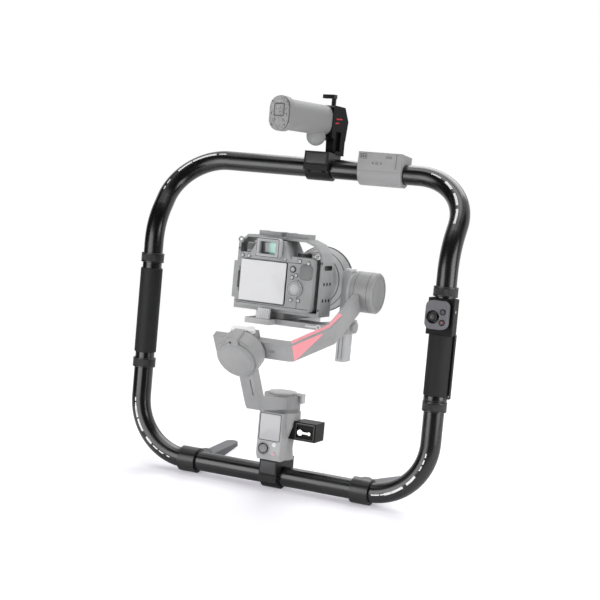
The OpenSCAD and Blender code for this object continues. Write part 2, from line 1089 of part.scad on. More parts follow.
module handle_display() {
  color("#c9c9cd")
    leaned()
      along_y(handle_face + 0.3, handle_face + display_t)
        translate([0, display_up + display_h / 2])
          rounded(handle_w - 2 * display_inset, display_h, 3);
}

module handle_stick_cross() {
  color("#8c8c8c")
    at_handle(handle_face + stick_pivot)
      translate([handle_stick_u, 0, handle_stick_up])
        stick_cross();
}

module handle_stick() {
  color("#8b8b8d")
    at_handle(handle_face + stick_pivot)
      translate([handle_stick_u, 0, handle_stick_up])
        stick();
}

module handle_mode_button() {
  color("#dcdcdc")
    at_handle(handle_face)
      translate([handle_button_u, 0, handle_mode_up])
        button(button_r);
}

module handle_record_button() {
  color("#e9c9c9")
    at_handle(handle_face)
      translate([handle_button_u, 0, handle_record_up])
        button(button_r);
}

module handle_trigger() {
  reach = handle_waist_r + 9;
  color("#8f8f91")
    leaned()
      union() {
        along_x(-trigger_w / 2, trigger_w / 2)
          polygon([
            [trigger_back - 4, trigger_up + 3],
            [trigger_back + 6, trigger_up + 4],
            [pan_back + handle_r + 1, trigger_up - 4],
            [pan_back + reach, trigger_up - 16],
            [pan_back + reach + 1, trigger_up - 29],
            [pan_back + reach - 4, trigger_up - 30],
            [trigger_back + 2, trigger_up - 14],
            [trigger_back - 4, trigger_up - 6]
          ]);
        translate([0, trigger_back, trigger_up])
          bar_x(-trigger_w / 2 - 4.5, trigger_w / 2 + 4.5, trigger_pin_r);
      }
}

// Accessory bracket on the handle's right side, with its wing screw
module side_bracket() {
  arm_w = 24;
  color("#141415")
    leaned()
      difference() {
        translate([bracket_u, bracket_back, bracket_up])
          difference() {
            union() {
              box([0, 0, 0], [bracket_w, bracket_depth, bracket_h]);
              translate([-handle_r / 2, pan_back - bracket_back - arm_w / 2, 0])
                cube([handle_r / 2, arm_w, bracket_h]);
            }
            box([3, -over, 5], [bracket_w - 6, wing_recess, bracket_h - 6]);
            translate([bracket_w / 2, bracket_depth, bracket_h / 2])
              bar_y(-tapped_l, over, tapped_r);
            translate([wing_u - bracket_u, 0, wing_up - bracket_up])
              bar_y(0, wing_recess + 9, screw_r + fit);
          }
        handle_round();
      }
}

module wing_screw() {
  head_r = 4.6;
  wing_l = 15;
  wing_h = 3.4;
  color("#d8d8d6")
    leaned()
      translate([wing_u, bracket_back + wing_recess, wing_up]) {
        bar_y(-3, 8, screw_r);
        bar_y(-4, -gap, head_r);
        along_y(-4, -gap - 0.6) {
          translate([0, -wing_h / 2])
            square([wing_l, wing_h]);
          translate([wing_l, 0])
            circle(r = wing_h * 0.8);
        }
      }
}

// Pan motor and pan arm
module pan_motor() {
  pin_l = pan_base_h + gap + pan_hub_h * 0.6;
  color("#98989a")
    leaned()
      translate([0, pan_back, handle_top])
        union() {
          cylinder(h = pan_base_h, r = pan_r - 2);
          cylinder(h = pin_l, r = 3 * lever_pin_r / 2);
        }
}

module pan_arm_outline() {
  front = -roll_r * 0.6;
  foot = pan_back - roll_reach * cos(roll_rise);
  lift = tilt_up - roll_reach * sin(roll_rise);
  c = cos(roll_rise);
  s = sin(roll_rise);
  near = roll_cap_t + 1;
  far = roll_l - 3.5;
  chamfer = 6;
  front_low = pan_arm_low + pan_arm_lift;
  front_high = pan_arm_high + pan_arm_lift;
  corner = (lift + near * s - front_low - chamfer) / c;
  inside = (lift + far * s - front_high) / c;
  polygon([
    [foot + near * c - front * s, lift + near * s + front * c],
    [foot + near * c + corner * s, front_low + chamfer],
    [foot + near * c + corner * s + chamfer, front_low],
    [pan_back - pan_r, pan_arm_low],
    [pan_back, pan_arm_low],
    [pan_back, pan_arm_high],
    [pan_back - pan_r, pan_arm_high],
    [foot + far * c + inside * s, front_high],
    [foot + far * c - front * s, lift + far * s + front * c]
  ]);
}

module pan_arm() {
  color("#a3a3a5")
    leaned()
      difference() {
        union() {
          along_x(pan_arm_off - pan_arm_w / 2, pan_arm_off + pan_arm_w / 2)
            pan_arm_outline();
          translate([0, pan_back, 0])
            along_z(hub_low, hub_high)
              circle(r = pan_r - 2);
        }
        translate([0, pan_back, hub_low - over])
          cylinder(h = over + pan_hub_h * 0.6 + gap, r = 3 * lever_pin_r / 2 + fit);
        translate([0, pan_back, hub_high - 5])
          cylinder(h = 5 + over, r = lever_pin_r + fit);
        on_roll_axis()
          bar_y(-over, roll_l + over, roll_r);
      }
}

module pan_lock_lever() {
  tab_w = 11;
  tab_l = 35;
  hook = 11;
  color("#9b9b9d")
    leaned()
      translate([0, pan_back, hub_high + gap])
        union() {
          cylinder(h = pan_lever_t, r = pan_lever_r);
          translate([0, 0, -4.5])
            cylinder(h = 5, r = lever_pin_r);
          box([0, -tab_w / 2, 0], [tab_l, tab_w / 2, pan_lever_t]);
          box([tab_l - 3, -tab_w / 2, -hook], [tab_l, tab_w / 2, pan_lever_t]);
        }
}

// Roll motor, its clamp and the roll arm, drawn along the roll axis
module roll_motor() {
  color("#a0a0a2")
    leaned()
      on_roll_axis()
        difference() {
          turned_y([
            [0, 0],
            [roll_cap_r - 1, 0],
            [roll_cap_r, 1],
            [roll_cap_r, roll_cap_t - 1],
            [roll_r - 1.5, roll_cap_t - 1],
            [roll_r, roll_cap_t + 1],
            [roll_r, roll_l],
            [0, roll_l]
          ]);
          bar_y(roll_l - shaft_l - gap, roll_l + over, shaft_r + fit);
        }
}

module roll_clamp() {
  jaw_in = bar_half + gap;
  jaw_out = jaw_in + roll_jaw;
  lever_u = jaw_w / 2 - roll_lever_r - 2;
  color("#949496")
    leaned()
      on_roll_axis()
        difference() {
          union() {
            bar_y(jaw_front, bar_front - gap, jaw_out);
            bar_y(roll_l - shaft_l, jaw_front + over, shaft_r);
            for (side = [0, 1])
              mirror([0, 0, side]) {
                box([-jaw_w / 2, jaw_front, jaw_in], [jaw_w / 2, bar_rear + gap + jaw_lip, jaw_out]);
                box([-jaw_w / 2, bar_rear + gap, jaw_in - 3], [jaw_w / 2, bar_rear + gap + jaw_lip, jaw_in]);
              }
          }
          translate([lever_u, (bar_front + bar_rear) / 2, jaw_out - 4])
            cylinder(h = 4 + over, r = latch_pin_r + fit);
        }
}

module roll_lock_lever() {
  top = bar_half + gap + roll_jaw + gap;
  lever_u = jaw_w / 2 - roll_lever_r - 2;
  color("#d2d2d2")
    leaned()
      on_roll_axis()
        translate([lever_u, (bar_front + bar_rear) / 2, top])
          union() {
            cylinder(h = roll_lever_t + 2, r = roll_lever_r);
            translate([0, 0, -3.8])
              cylinder(h = 4, r = latch_pin_r);
            along_z(1, 1 + roll_lever_t)
              translate([-roll_lever_l, -roll_lever_r + 1.5])
                square([roll_lever_l, 2 * roll_lever_r - 3]);
          }
}

module roll_arm_outline() {
  end = roll_reach - tilt_r * 0.6;
  polygon([
    [bar_left, bar_front],
    [bar_right, bar_front],
    [bar_right + 7, bar_front + 2],
    [arm_mid[0] + 10, arm_mid[1] - 3],
    [arm_high[0] + arm_t / 2, arm_high[1] - 2],
    [arm_high[0] + 2 + arm_t / 2, end],
    [arm_high[0] + 2 - arm_t / 2, end],
    [arm_high[0] - arm_t / 2, arm_high[1] + 2],
    [arm_mid[0] + 1, arm_mid[1] + 2],
    [bar_right + 2, bar_rear],
    [bar_left, bar_rear]
  ]);
}

module roll_arm() {
  color("#a1a1a3")
    leaned()
      on_roll_axis()
        difference() {
          along_z(-bar_half, bar_half)
            roll_arm_outline();
          translate([0, roll_reach, 0])
            bar_x(tilt_in - over, tilt_in + 2 * tilt_l, tilt_r);
        }
}

// Tilt motor, upright post and its lock lever
module tilt_motor() {
  color("#9c9c9e")
    leaned()
      translate([0, pan_back, tilt_up])
        difference() {
          turned_x([
            [0, tilt_in],
            [tilt_r - 1.5, tilt_in],
            [tilt_r, tilt_in + 1.5],
            [tilt_r, tilt_in + tilt_l - 2],
            [tilt_r - 2, tilt_in + tilt_l],
            [tilt_r - 4, tilt_in + tilt_l],
            [tilt_r - 4.6, tilt_in + tilt_l - 0.6],
            [0, tilt_in + tilt_l - 0.6]
          ]);
          bar_x(tilt_in - over, tilt_in + shaft_l + gap, shaft_r + fit);
        }
}

module tilt_post() {
  color("#a2a2a4")
    leaned()
      translate([0, pan_back, tilt_up])
        difference() {
          union() {
            box([post_in, -post_depth / 2, -post_drop], [post_out, post_depth / 2, post_rise]);
            bar_x(post_out, tilt_in - gap, hub_r);
            bar_x(post_out, tilt_in + shaft_l, shaft_r);
          }
          translate([(post_in + post_out) / 2, 0, post_rise - 5])
            cylinder(h = 5 + over, r = latch_pin_r + fit);
          box(
            [post_in - over, -3, 12 - post_drop],
            [post_in + 1.5, 3, post_rise - 12]
          );
        }
}

module tilt_lock_lever() {
  color("#ececec")
    leaned()
      translate([(post_in + post_out) / 2, pan_back, tilt_up + post_rise + gap])
        union() {
          along_z(0, cap_t)
            rounded(post_w + 1, post_depth - 8, 5);
          translate([0, 0, -4.8])
            cylinder(h = 5, r = latch_pin_r);
        }
}

// Camera plate with its collar round the post, its latch and the sliding quick-release plate
module base_plate() {
  collar_in = post_in - gap - plate_collar;
  collar_out = post_out + gap + plate_collar;
  collar_half = post_depth / 2 + gap + plate_collar;
  collar_mid = plate_low + plate_t / 2;
  color("#b3b3b5")
    leaned()
      difference() {
        union() {
          along_z(plate_low, plate_up)
            polygon([
              [plate_left, plate_edge - tongue_l],
              [tongue_right, plate_edge - tongue_l],
              [tongue_right, plate_edge],
              [collar_in + 6, plate_edge],
              [collar_in + 6, plate_edge + 24],
              [collar_in + over, plate_edge + 24],
              [collar_in + over, pan_back + collar_half],
              [collar_in - 14, pan_back + collar_half],
              [collar_in - 20, plate_edge + 46],
              [rail_mid + rail_half, plate_edge + 46],
              [rail_mid + rail_half, rail_rear],
              [rail_mid - rail_half, rail_rear],
              [rail_mid - rail_half, plate_edge + 46],
              [plate_left, plate_edge + 40]
            ]);
          box(
            [collar_in, pan_back - collar_half, collar_mid - collar_h / 2],
            [collar_out, pan_back + collar_half, collar_mid + collar_h / 2]
          );
          translate([0, pan_back, collar_mid])
            bar_x(collar_out, collar_out + knob_l, knob_r);
        }
        box(
          [post_in - gap, pan_back - post_depth / 2 - gap, collar_mid - collar_h],
          [post_out + gap, pan_back + post_depth / 2 + gap, collar_mid + collar_h]
        );
        translate([latch_u, latch_back, plate_up - 5])
          cylinder(h = 5 + over, r = latch_pin_r + fit);
      }
}

module plate_latch() {
  color("#cfcfd1")
    leaned()
      translate([latch_u, latch_back, plate_up + gap])
        union() {
          cylinder(h = latch_h - 4, r = latch_t / 2 + 0.5);
          translate([0, 0, -4.8])
            cylinder(h = 5, r = latch_pin_r);
          box([0, -latch_t / 2, 0], [latch_l, latch_t / 2, latch_h]);
        }
}

module slide_plate() {
  slide_front = plate_edge + 4;
  color("#9a9a9c")
    leaned()
      along_z(slide_low, slide_up)
        translate([rail_mid, (slide_front + rail_rear - 12) / 2])
          rounded(2 * rail_half - 4, rail_rear - 12 - slide_front, 4);
}

// Cage round the camera
module cage_frame_outline(inset) {
  polygon([
    [cage_u0 + inset, cage_low + inset + (inset > 0 ? 1 : 0)],
    [cage_u1 - inset, cage_low + inset + (inset > 0 ? 1 : 0)],
    [cage_u1 - inset, cage_top - 1.5 * cage_corner],
    [cage_u1 - 0.22 * cage_corner - inset, cage_top - 0.85 * cage_corner],
    [cage_u1 - 0.7 * cage_corner - 0.7 * inset, cage_top - 0.3 * cage_corner - 0.7 * inset],
    [cage_u1 - 1.5 * cage_corner, cage_top - inset],
    [cage_u0 + 14, cage_top - inset],
    [cage_u0 + inset, cage_top - 14]
  ]);
}

module camera_cage() {
  shoe_w = 36;
  shoe_gap = 8;
  rail = 3.5;
  shoe_end = 5;
  color("#6d6e70")
    leaned()
      difference() {
        union() {
          along_y(cage_w0, cage_w0 + cage_d)
            difference() {
              cage_frame_outline(0);
              cage_frame_outline(cage_wall);
            }
          for (k = [-1, 0])
            translate([shoe_mid + (k + 0.5) * (shoe_w + shoe_gap) - shoe_w / 2, cage_w0 + 8, cage_top])
              difference() {
                box([0, 0, 0], [shoe_w, cage_d - 16, shoe_h]);
                box([3, shoe_end, 1.5], [shoe_w - 3, cage_d, shoe_h - 2]);
                box([3 + rail, shoe_end, 1.5], [shoe_w - 3 - rail, cage_d, shoe_h + over]);
              }
          box(
            [cage_u0 - side_rail_t, cage_w0 + 2, camera_low + 10],
            [cage_u0 + over, cage_w0 + cage_d / 2 + 8, camera_low + 10 + side_rail_h]
          );
        }
        for (up = [0.25, 0.5, 0.75])
          translate([0, cage_w0 + cage_d / 2, camera_low + up * camera_h])
            bar_x(cage_u0 - side_rail_t - over, cage_u0 + cage_wall + over, tapped_r);
      }
}

// Camera body with its screen, finder cup, wheel, dial and release button
module screen_lugs() {
  for (side = [0, 1])
    translate([screen_u0 - 1, back_w + screen_t / 2 - gap, screen_v0 + screen_h / 2])
      mirror([0, 0, side])
        translate([0, 0, hinge_knuckle + gap])
          linear_extrude(hinge_lug)
            difference() {
              union() {
                circle(r = hinge_r);
                translate([-hinge_r, 0])
                  square([2 * hinge_r, screen_t / 2 + gap]);
              }
              circle(r = hinge_pin_r + fit);
            }
}

module camera_body() {
  color("#5f6063")
    leaned() {
      camera_shell();
      screen_lugs();
    }
}

module camera_shell() {
  edge = 7;
  mid_u = (camera_u0 + camera_u1) / 2;
  difference() {
    union() {
      along_y(back_w, front_w)
        translate([mid_u, camera_low + camera_h / 2])
          rounded(camera_w, camera_h, edge);
      along_y(back_w - 2, front_w - 4)
        polygon([
          [lens_u - finder_w / 2 - 8, camera_up - 4],
          [lens_u + finder_w / 2 + 8, camera_up - 4],
          [lens_u + finder_w / 2 - 6, camera_up + finder_h],
          [lens_u - finder_w / 2 + 6, camera_up + finder_h]
        ]);
      along_z(camera_low, camera_up - 6)
        translate([camera_u1 - grip_width / 2, front_w])
          rounded(grip_width, 2 * grip_front, 10);
      translate([lens_u, 0, lens_v])
        bar_y(front_w - 2, front_w + 3, lens_r + 3);
    }
    box(
      [camera_u0 - over, back_w - over, screen_v0 - 1.5],
      [screen_u0 + screen_w + 1.5, back_w + screen_t, screen_v0 + screen_h + 1.5]
    );
    translate([lens_u, 0, lens_v])
      bar_y(front_w - mount_l, front_w + 4, mount_r);
    translate([wheel_u, 0, wheel_v])
      bar_y(back_w - over, back_w + 5, spindle_r + fit);
    translate([dial_u, dial_w, camera_up - 5])
      cylinder(h = 5 + over, r = spindle_r + fit);
    translate([shutter_u, shutter_w, camera_up - 6 - button_well])
      cylinder(h = button_well + over, r = shutter_r + fit);
    along_y(back_w - 2 - over, back_w)
      translate([lens_u, eyecup_v])
        rounded(eyecup_w, eyecup_h, 6);
  }
}

module camera_screen() {
  seat = back_w + screen_t - gap;
  face = seat - screen_t;
  color("#d4d4d8")
    leaned()
      union() {
        along_y(face, seat)
          translate([screen_u0 + screen_w / 2 + 1, screen_v0 + screen_h / 2])
            rounded(screen_w - 2, screen_h, 2);
        translate([screen_u0 - 1, (face + seat) / 2, screen_v0 + screen_h / 2])
          along_z(-hinge_knuckle, hinge_knuckle)
            circle(r = screen_t / 2 - gap);
        translate([screen_u0 - 1, (face + seat) / 2, screen_v0 + screen_h / 2])
          along_z(-hinge_knuckle - hinge_lug, hinge_knuckle + hinge_lug)
            circle(r = hinge_pin_r);
        box(
          [screen_u0 - 1, (face + seat) / 2 - 1, screen_v0 + screen_h / 2 - hinge_knuckle],
          [screen_u0 + 3, (face + seat) / 2 + 1, screen_v0 + screen_h / 2 + hinge_knuckle]
        );
      }
}

module eyecup() {
  window_w = 26;
  window_h = 18;
  color("#55565a")
    leaned()
      difference() {
        along_y(back_w - eyecup_d, back_w)
          translate([lens_u, eyecup_v])
            rounded(eyecup_w, eyecup_h, 6);
        along_y(back_w - eyecup_d - over, back_w - 3)
          translate([lens_u, eyecup_v])
            rounded(window_w, window_h, 2);
      }
}

module rear_wheel() {
  color("#707174")
    leaned()
      translate([wheel_u, back_w - gap, wheel_v])
        difference() {
          union() {
            bar_y(-wheel_t, 0, wheel_r);
            bar_y(0, 4.5, spindle_r);
          }
          bar_y(-wheel_t - over, -wheel_t + 1, wheel_r - 4.5);
        }
}

module mode_dial() {
  color("#66676a")
    leaned()
      translate([dial_u, dial_w, camera_up + gap])
        union() {
          cylinder(h = dial_h, r = dial_r);
          translate([0, 0, -4.5])
            cylinder(h = 5, r = spindle_r);
        }
}

module shutter_button() {
  color("#b0b0b3")
    leaned()
      translate([shutter_u, shutter_w, camera_up - 6])
        rotate([90, 0, 0])
          button(shutter_r);
}

// Lens: fixed barrel with its hood, and the turning focus ring
module lens_barrel() {
  neck = focus_w - barrel_w;
  slot_r = lens_r - 3;
  front = lens_l + hood_l;
  color("#626366")
    leaned()
      translate([lens_u, barrel_w, lens_v])
        turned_y([
          [0, -mount_l],
          [mount_r, -mount_l],
          [mount_r, 4],
          [lens_r, 8],
          [lens_r, neck - gap],
          [slot_r, neck - gap],
          [slot_r, neck + focus_l + gap],
          [lens_r, neck + focus_l + gap],
          [lens_r, lens_l - 4],
          [lens_r + 5, lens_l],
          [hood_r, front],
          [hood_r - hood_wall, front],
          [lens_r + 5 - hood_wall, lens_l + 2],
          [lens_r - bore_wall, lens_l],
          [lens_r - bore_wall, lens_l - 14],
          [0, lens_l - 14]
        ]);
}

module focus_ring() {
  color("#58595c")
    leaned()
      translate([lens_u, focus_w, lens_v])
        turned_y([
          [lens_r - 3 + gap, 0],
          [lens_r + focus_proud - 0.8, 0],
          [lens_r + focus_proud, 0.8],
          [lens_r + focus_proud, focus_l - 0.8],
          [lens_r + focus_proud - 0.8, focus_l],
          [lens_r - 3 + gap, focus_l]
        ]);
}

// Top clamp, adapter, battery grip and thumb lever
module top_clamp_block() {
  color("#1d1d1e")
    difference() {
      leaned()
        on_top_bar()
          difference() {
            along_x(-top_clamp_w / 2, top_clamp_w / 2)
              translate([-clamp_half, clamp_split])
                square([2 * clamp_half, clamp_top - clamp_split]);
            bar_x(-top_clamp_w, top_clamp_w, tube_r);
          }
      at_top_screws()
        screw_hole(top_clamp_top + 10);
    }
}

module top_clamp_cap() {
  cap_low = -6;
  color("#161617")
    difference() {
      leaned()
        on_top_bar()
          difference() {
            union() {
              bar_x(-top_clamp_w / 2, top_clamp_w / 2, clamp_out);
              along_x(-top_clamp_w / 2, top_clamp_w / 2)
                translate([-clamp_half, cap_low])
                  square([2 * clamp_half, clamp_split - split_gap - cap_low]);
            }
            bar_x(-top_clamp_w, top_clamp_w, tube_r);
            box([-ring_w, -ring_w, clamp_split - split_gap], [ring_w, ring_w, ring_w]);
          }
      at_top_screws()
        screw_hole(top_clamp_top + 10);
    }
}

module grip_adapter() {
  color("#151516")
    leaned()
      difference() {
        union() {
          on_grip_axis() {
            along_x(-adapter_w / 2, adapter_w / 2)
              polygon([
                [adapter_front, adapter_low + 4],
                [adapter_front + 8, adapter_low],
                [adapter_rear - 3, adapter_low],
                [adapter_rear + 1, adapter_high - 22],
                [adapter_rear - 10, adapter_high - 1],
                [adapter_front + 4, adapter_high],
                [adapter_front, adapter_high - 3]
              ]);
            along_x(neck_u - neck_w, neck_u)
              polygon([
                [neck_front, clamp_top - 6],
                [adapter_rear - 4, clamp_top - 6],
                [adapter_rear - 4, adapter_low + over],
                [neck_front - 2, adapter_low + over]
              ]);
          }
        }
        on_top_bar()
          box([-ring_w, -ring_w, -ring_w], [ring_w, ring_w, clamp_top]);
        on_grip_axis() {
          box(
            [adapter_w / 2 - 4, pocket_front, clamp_top + 4],
            [adapter_w, pocket_front + pocket_w, clamp_top + 4 + pocket_h]
          );
          translate([thumb_u, thumb_back, adapter_high - 16])
            cylinder(h = 20, r = screw_r + fit);
        }
      }
}

module grip_outline(grow) {
  translate([0, grip_v])
    rounded(grip_w + grow, grip_h + 2 * grow, (grip_w + grow) / 2 - 1);
}

module battery_grip() {
  cap_front = adapter_front - grip_l - grip_cap_l;
  color("#9d9d9f")
    leaned()
      on_grip_axis()
        union() {
          along_y(adapter_front - grip_l, adapter_front)
            grip_outline(0);
          along_y(cap_front + 2, adapter_front - grip_l)
            grip_outline(grip_extra);
          along_y(cap_front, cap_front + 2)
            grip_outline(0);
          translate([0, adapter_front - lobe_back, grip_v - grip_h / 2 - 2.5])
            sphere(r = lobe_r);
        }
}

module thumb_lever() {
  color("#2a2a2b")
    leaned()
      on_grip_axis()
        translate([thumb_u, thumb_back, adapter_high + gap])
          union() {
            translate([0, 0, -15])
              cylinder(h = 16, r = screw_r);
            cylinder(h = thumb_h, r = thumb_r + 0.8);
            box(
              [thumb_r - thumb_bar[0], -thumb_bar[1] / 2, thumb_h - 1],
              [thumb_r, thumb_bar[1] / 2, thumb_h - 1 + thumb_bar[2]]
            );
          }
}

// Grey module box clamped on the top bar
module module_box() {
  port_r = 1.6;
  color("#a6a6a8")
    leaned()
      on_top_bar()
        difference() {
          union() {
            bar_x(module_u, module_u + module_w, module_low_r);
            along_x(module_u, module_u + module_w)
              translate([-module_d / 2, 0])
                square([module_d, module_h]);
          }
          bar_x(module_u - over, module_u + module_w + over, tube_r);
          for (k = [-1, 0, 1])
            translate([module_u + module_w * 0.45 + k * 6.5, 0, module_h * 0.42])
              bar_y(-module_d / 2 - over, -module_d / 2 + 1.2, k == 0 ? 1.6 * port_r : port_r);
        }
}

bottom_tube();
top_tube();
left_grip_tube();
right_grip_tube();
left_grip_sleeve();
right_grip_sleeve();
upper_left_lock_ring();
lower_left_lock_ring();
upper_right_lock_ring();
lower_right_lock_ring();
control_bracket();
control_head();
control_stick_cross();
control_stick();
control_mode_button();
control_record_button();
left_leg_collar();
right_leg_collar();
left_leg();
right_leg();
fasteners();
base_clamp_block();
base_clamp_cap();
gimbal_handle();
handle_display();
handle_stick_cross();
handle_stick();
handle_mode_button();
handle_record_button();
handle_trigger();
side_bracket();
wing_screw();
pan_motor();
pan_arm();
pan_lock_lever();
roll_motor();
roll_clamp();
roll_lock_lever();
roll_arm();
tilt_motor();
tilt_post();
tilt_lock_lever();
base_plate();
plate_latch();
slide_plate();
camera_cage();
camera_body();
camera_screen();
eyecup();
rear_wheel();
mode_dial();
shutter_button();
lens_barrel();
focus_ring();
top_clamp_block();
top_clamp_cap();
grip_adapter();
battery_grip();
thumb_lever();
module_box();
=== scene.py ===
"""Looks of a leaning ring rig with its gimbal, caged camera and top handle, laid out as an add-on."""

import json
from math import cos, pi, radians, sin

import bmesh
import bpy
from mathutils import Matrix, Vector


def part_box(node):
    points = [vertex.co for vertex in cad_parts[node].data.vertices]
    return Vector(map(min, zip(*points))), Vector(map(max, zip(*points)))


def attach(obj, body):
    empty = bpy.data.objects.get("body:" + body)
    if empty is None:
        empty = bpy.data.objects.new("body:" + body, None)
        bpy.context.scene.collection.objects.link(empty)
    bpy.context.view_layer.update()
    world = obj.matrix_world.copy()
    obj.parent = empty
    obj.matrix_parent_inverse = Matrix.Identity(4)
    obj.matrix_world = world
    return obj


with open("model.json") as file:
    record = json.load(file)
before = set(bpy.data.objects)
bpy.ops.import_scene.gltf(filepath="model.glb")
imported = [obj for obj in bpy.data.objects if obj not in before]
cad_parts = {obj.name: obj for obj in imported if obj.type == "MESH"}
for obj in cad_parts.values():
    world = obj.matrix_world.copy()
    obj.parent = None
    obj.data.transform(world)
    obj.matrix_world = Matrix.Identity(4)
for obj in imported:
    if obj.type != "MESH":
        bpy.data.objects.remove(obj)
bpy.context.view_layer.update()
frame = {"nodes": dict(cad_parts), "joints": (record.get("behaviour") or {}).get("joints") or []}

bl_info = {
    "name": "Ring rig looks",
    "version": (1, 0, 0),
    "blender": (4, 5, 0),
    "location": "View3D > Sidebar > Ring Rig",
    "description": "Dresses the ring rig with its finishes, printed marks and small fittings",
    "category": "Object",
}

MM = 0.001
NODES = frame["nodes"]
JOINTS = {joint["name"]: joint for joint in frame["joints"]}

# Directions in the frames below; the rear is the side that the photo shows
TO_REAR = (0, -1, 0)
TO_FRONT = (0, 1, 0)
TO_RIGHT = (1, 0, 0)
TO_LEFT = (-1, 0, 0)
UPWARD = (0, 0, 1)

# How far trim sinks into the face that carries it, in millimetres
SEAT = 0.02
MID_SEAT = 0.05
DEEP_SEAT = 0.1

# Points nearer than this are merged, and edges bent more than this are softened
MERGE = 0.001 * MM
SHARP = radians(35)

# Least cosines of a face that looks one way and of an edge that runs one way
LOOKS = 0.9
RUNS = 0.99


def tone(red, green, blue):
    """A linear colour from the 0 to 255 values of a screen."""
    shares = (value / 255 for value in (red, green, blue))
    return tuple(s / 12.92 if s <= 0.04045 else ((s + 0.055) / 1.055) ** 2.4 for s in shares)


# Frames of the leaning ring, the roll axis, the top bar and the turned battery grip
def axes(origin, right, back, up):
    turn = Matrix((right, back, up)).transposed().to_4x4()
    return Matrix.Translation(origin) @ turn


def span(node, space):
    """Lowest and highest corner of a CAD node, measured in one of the frames."""
    into = space.inverted()
    places = [into @ point.co for point in NODES[node].data.vertices]
    return (
        Vector([min(p[i] for p in places) for i in range(3)]),
        Vector([max(p[i] for p in places) for i in range(3)]),
    )


def span_mm(node, space):
    """The same two corners in millimetres, and the middle between them."""
    low, high = (corner / MM for corner in span(node, space))
    return low, high, (low + high) / 2


RIGHT = Vector(TO_RIGHT)
UP = Vector(JOINTS["upper_left_lock_turn"]["axis"]).normalized()
TUBE_R = -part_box("bottom_tube")[0].y
RING = axes(Vector((0, 0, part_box("bottom_tube")[0].z + TUBE_R)), RIGHT, UP.cross(RIGHT), UP)

ROLL_WAY = Vector(JOINTS["roll_turn"]["axis"]).normalized()
ROLL_AT = axes(Vector(JOINTS["roll_turn"]["pos_m"]), RIGHT, ROLL_WAY, RIGHT.cross(ROLL_WAY))
ROLL = ROLL_AT @ Matrix.Translation((0, span("roll_motor", ROLL_AT)[0].y, 0))

TOP_TILT = radians(-4.5)
GRIP_TURN = radians(-13)
BAR_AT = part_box("top_tube")[1] - Vector((0, TUBE_R, TUBE_R))
TOP_BAR = axes(Vector((0, BAR_AT.y, BAR_AT.z)), RIGHT, UP.cross(RIGHT), UP)
TOP = TOP_BAR @ Matrix.Rotation(TOP_TILT, 4, "X")
GRIP = TOP_BAR @ Matrix.Rotation(GRIP_TURN, 4, "Z")


# Modelling steps shared by the pieces
def begin(name, start, **how):
    """Adds a primitive by itself, bakes its place into its mesh and opens it for editing."""
    if bpy.context.mode != "OBJECT":
        bpy.ops.object.mode_set(mode="OBJECT")
    bpy.ops.object.select_all(action="DESELECT")
    start(**how)
    piece = bpy.context.object
    piece.name = name
    piece.data.name = name
    bpy.ops.object.transform_apply(location=True, rotation=True, scale=True)
    bpy.ops.object.mode_set(mode="EDIT")
    return piece


def block(name, low, high):
    """A box between two corners."""
    low, high = Vector(low) * MM, Vector(high) * MM
    return begin(name, bpy.ops.mesh.primitive_cube_add, size=1, location=(low + high) / 2, scale=high - low)


def disc(name, place, radius, height, way=TO_REAR, sides=40):
    """A round plate whose back rests at a place."""
    way = Vector(way)
    return begin(
        name, bpy.ops.mesh.primitive_cylinder_add, vertices=sides, radius=radius * MM, depth=height * MM,
        location=(Vector(place) + way * height / 2) * MM, rotation=way.to_track_quat("Z", "Y").to_euler(),
    )


def pick(piece, wanted, kind="FACE"):
    """Selects faces, edges or points by their place in millimetres and their direction."""
    bpy.ops.mesh.select_mode(type=kind)
    bpy.ops.mesh.select_all(action="DESELECT")
    shape = bmesh.from_edit_mesh(piece.data)
    if kind == "FACE":
        found = [(f, f.calc_center_median(), f.normal) for f in shape.faces]
    elif kind == "EDGE":
        ends = [(e, e.verts[0].co, e.verts[1].co) for e in shape.edges]
        found = [(e, (start + end) / 2, end - start) for e, start, end in ends]
    else:
        found = [(v, v.co, v.normal) for v in shape.verts]
    for part, place, way in found:
        part.select_set(bool(wanted(place / MM, way.normalized())))
    shape.select_flush_mode()
    bmesh.update_edit_mesh(piece.data)


def along(way):
    way = Vector(way)
    return lambda place, line: abs(line.dot(way)) > RUNS


def round_corners(piece, way, radius, rounds=6):
    """Rounds the corners of a plate that stands along one direction."""
    pick(piece, along(way), "EDGE")
    bpy.ops.mesh.bevel(offset=radius * MM, segments=rounds, affect="EDGES")


def press(piece, way, steps):
    """Insets the face that looks one way in steps, each a width and a depth in millimetres."""
    way = Vector(way)
    pick(piece, lambda place, normal: normal.dot(way) > LOOKS)
    for width, depth in steps:
        bpy.ops.mesh.inset(thickness=width * MM, depth=depth * MM)


def apply_modifier(piece, kind, **values):
    bpy.ops.object.mode_set(mode="OBJECT")
    added = piece.modifiers.new(kind.lower(), kind)
    for key, value in values.items():
        setattr(added, key, value)
    bpy.ops.object.modifier_apply(modifier=added.name)
    bpy.ops.object.mode_set(mode="EDIT")


def close_mesh():
    """Merges points that meet and turns all faces outwards."""
    bpy.ops.mesh.select_all(action="SELECT")
    bpy.ops.mesh.remove_doubles(threshold=MERGE)
    bpy.ops.mesh.normals_make_consistent(inside=False)


def copy_piece(piece, name, move):
    """Copies a piece that rides on nothing yet, with a mesh of its own, and moves the copy."""
    bpy.ops.object.select_all(action="DESELECT")
    piece.select_set(True)
    bpy.context.view_layer.objects.active = piece
    bpy.ops.object.duplicate()
    twin = bpy.context.object
    twin.name = name
    twin.data.name = name
    twin.location = move
    bpy.ops.object.transform_apply(location=True, rotation=True, scale=True)
    return twin


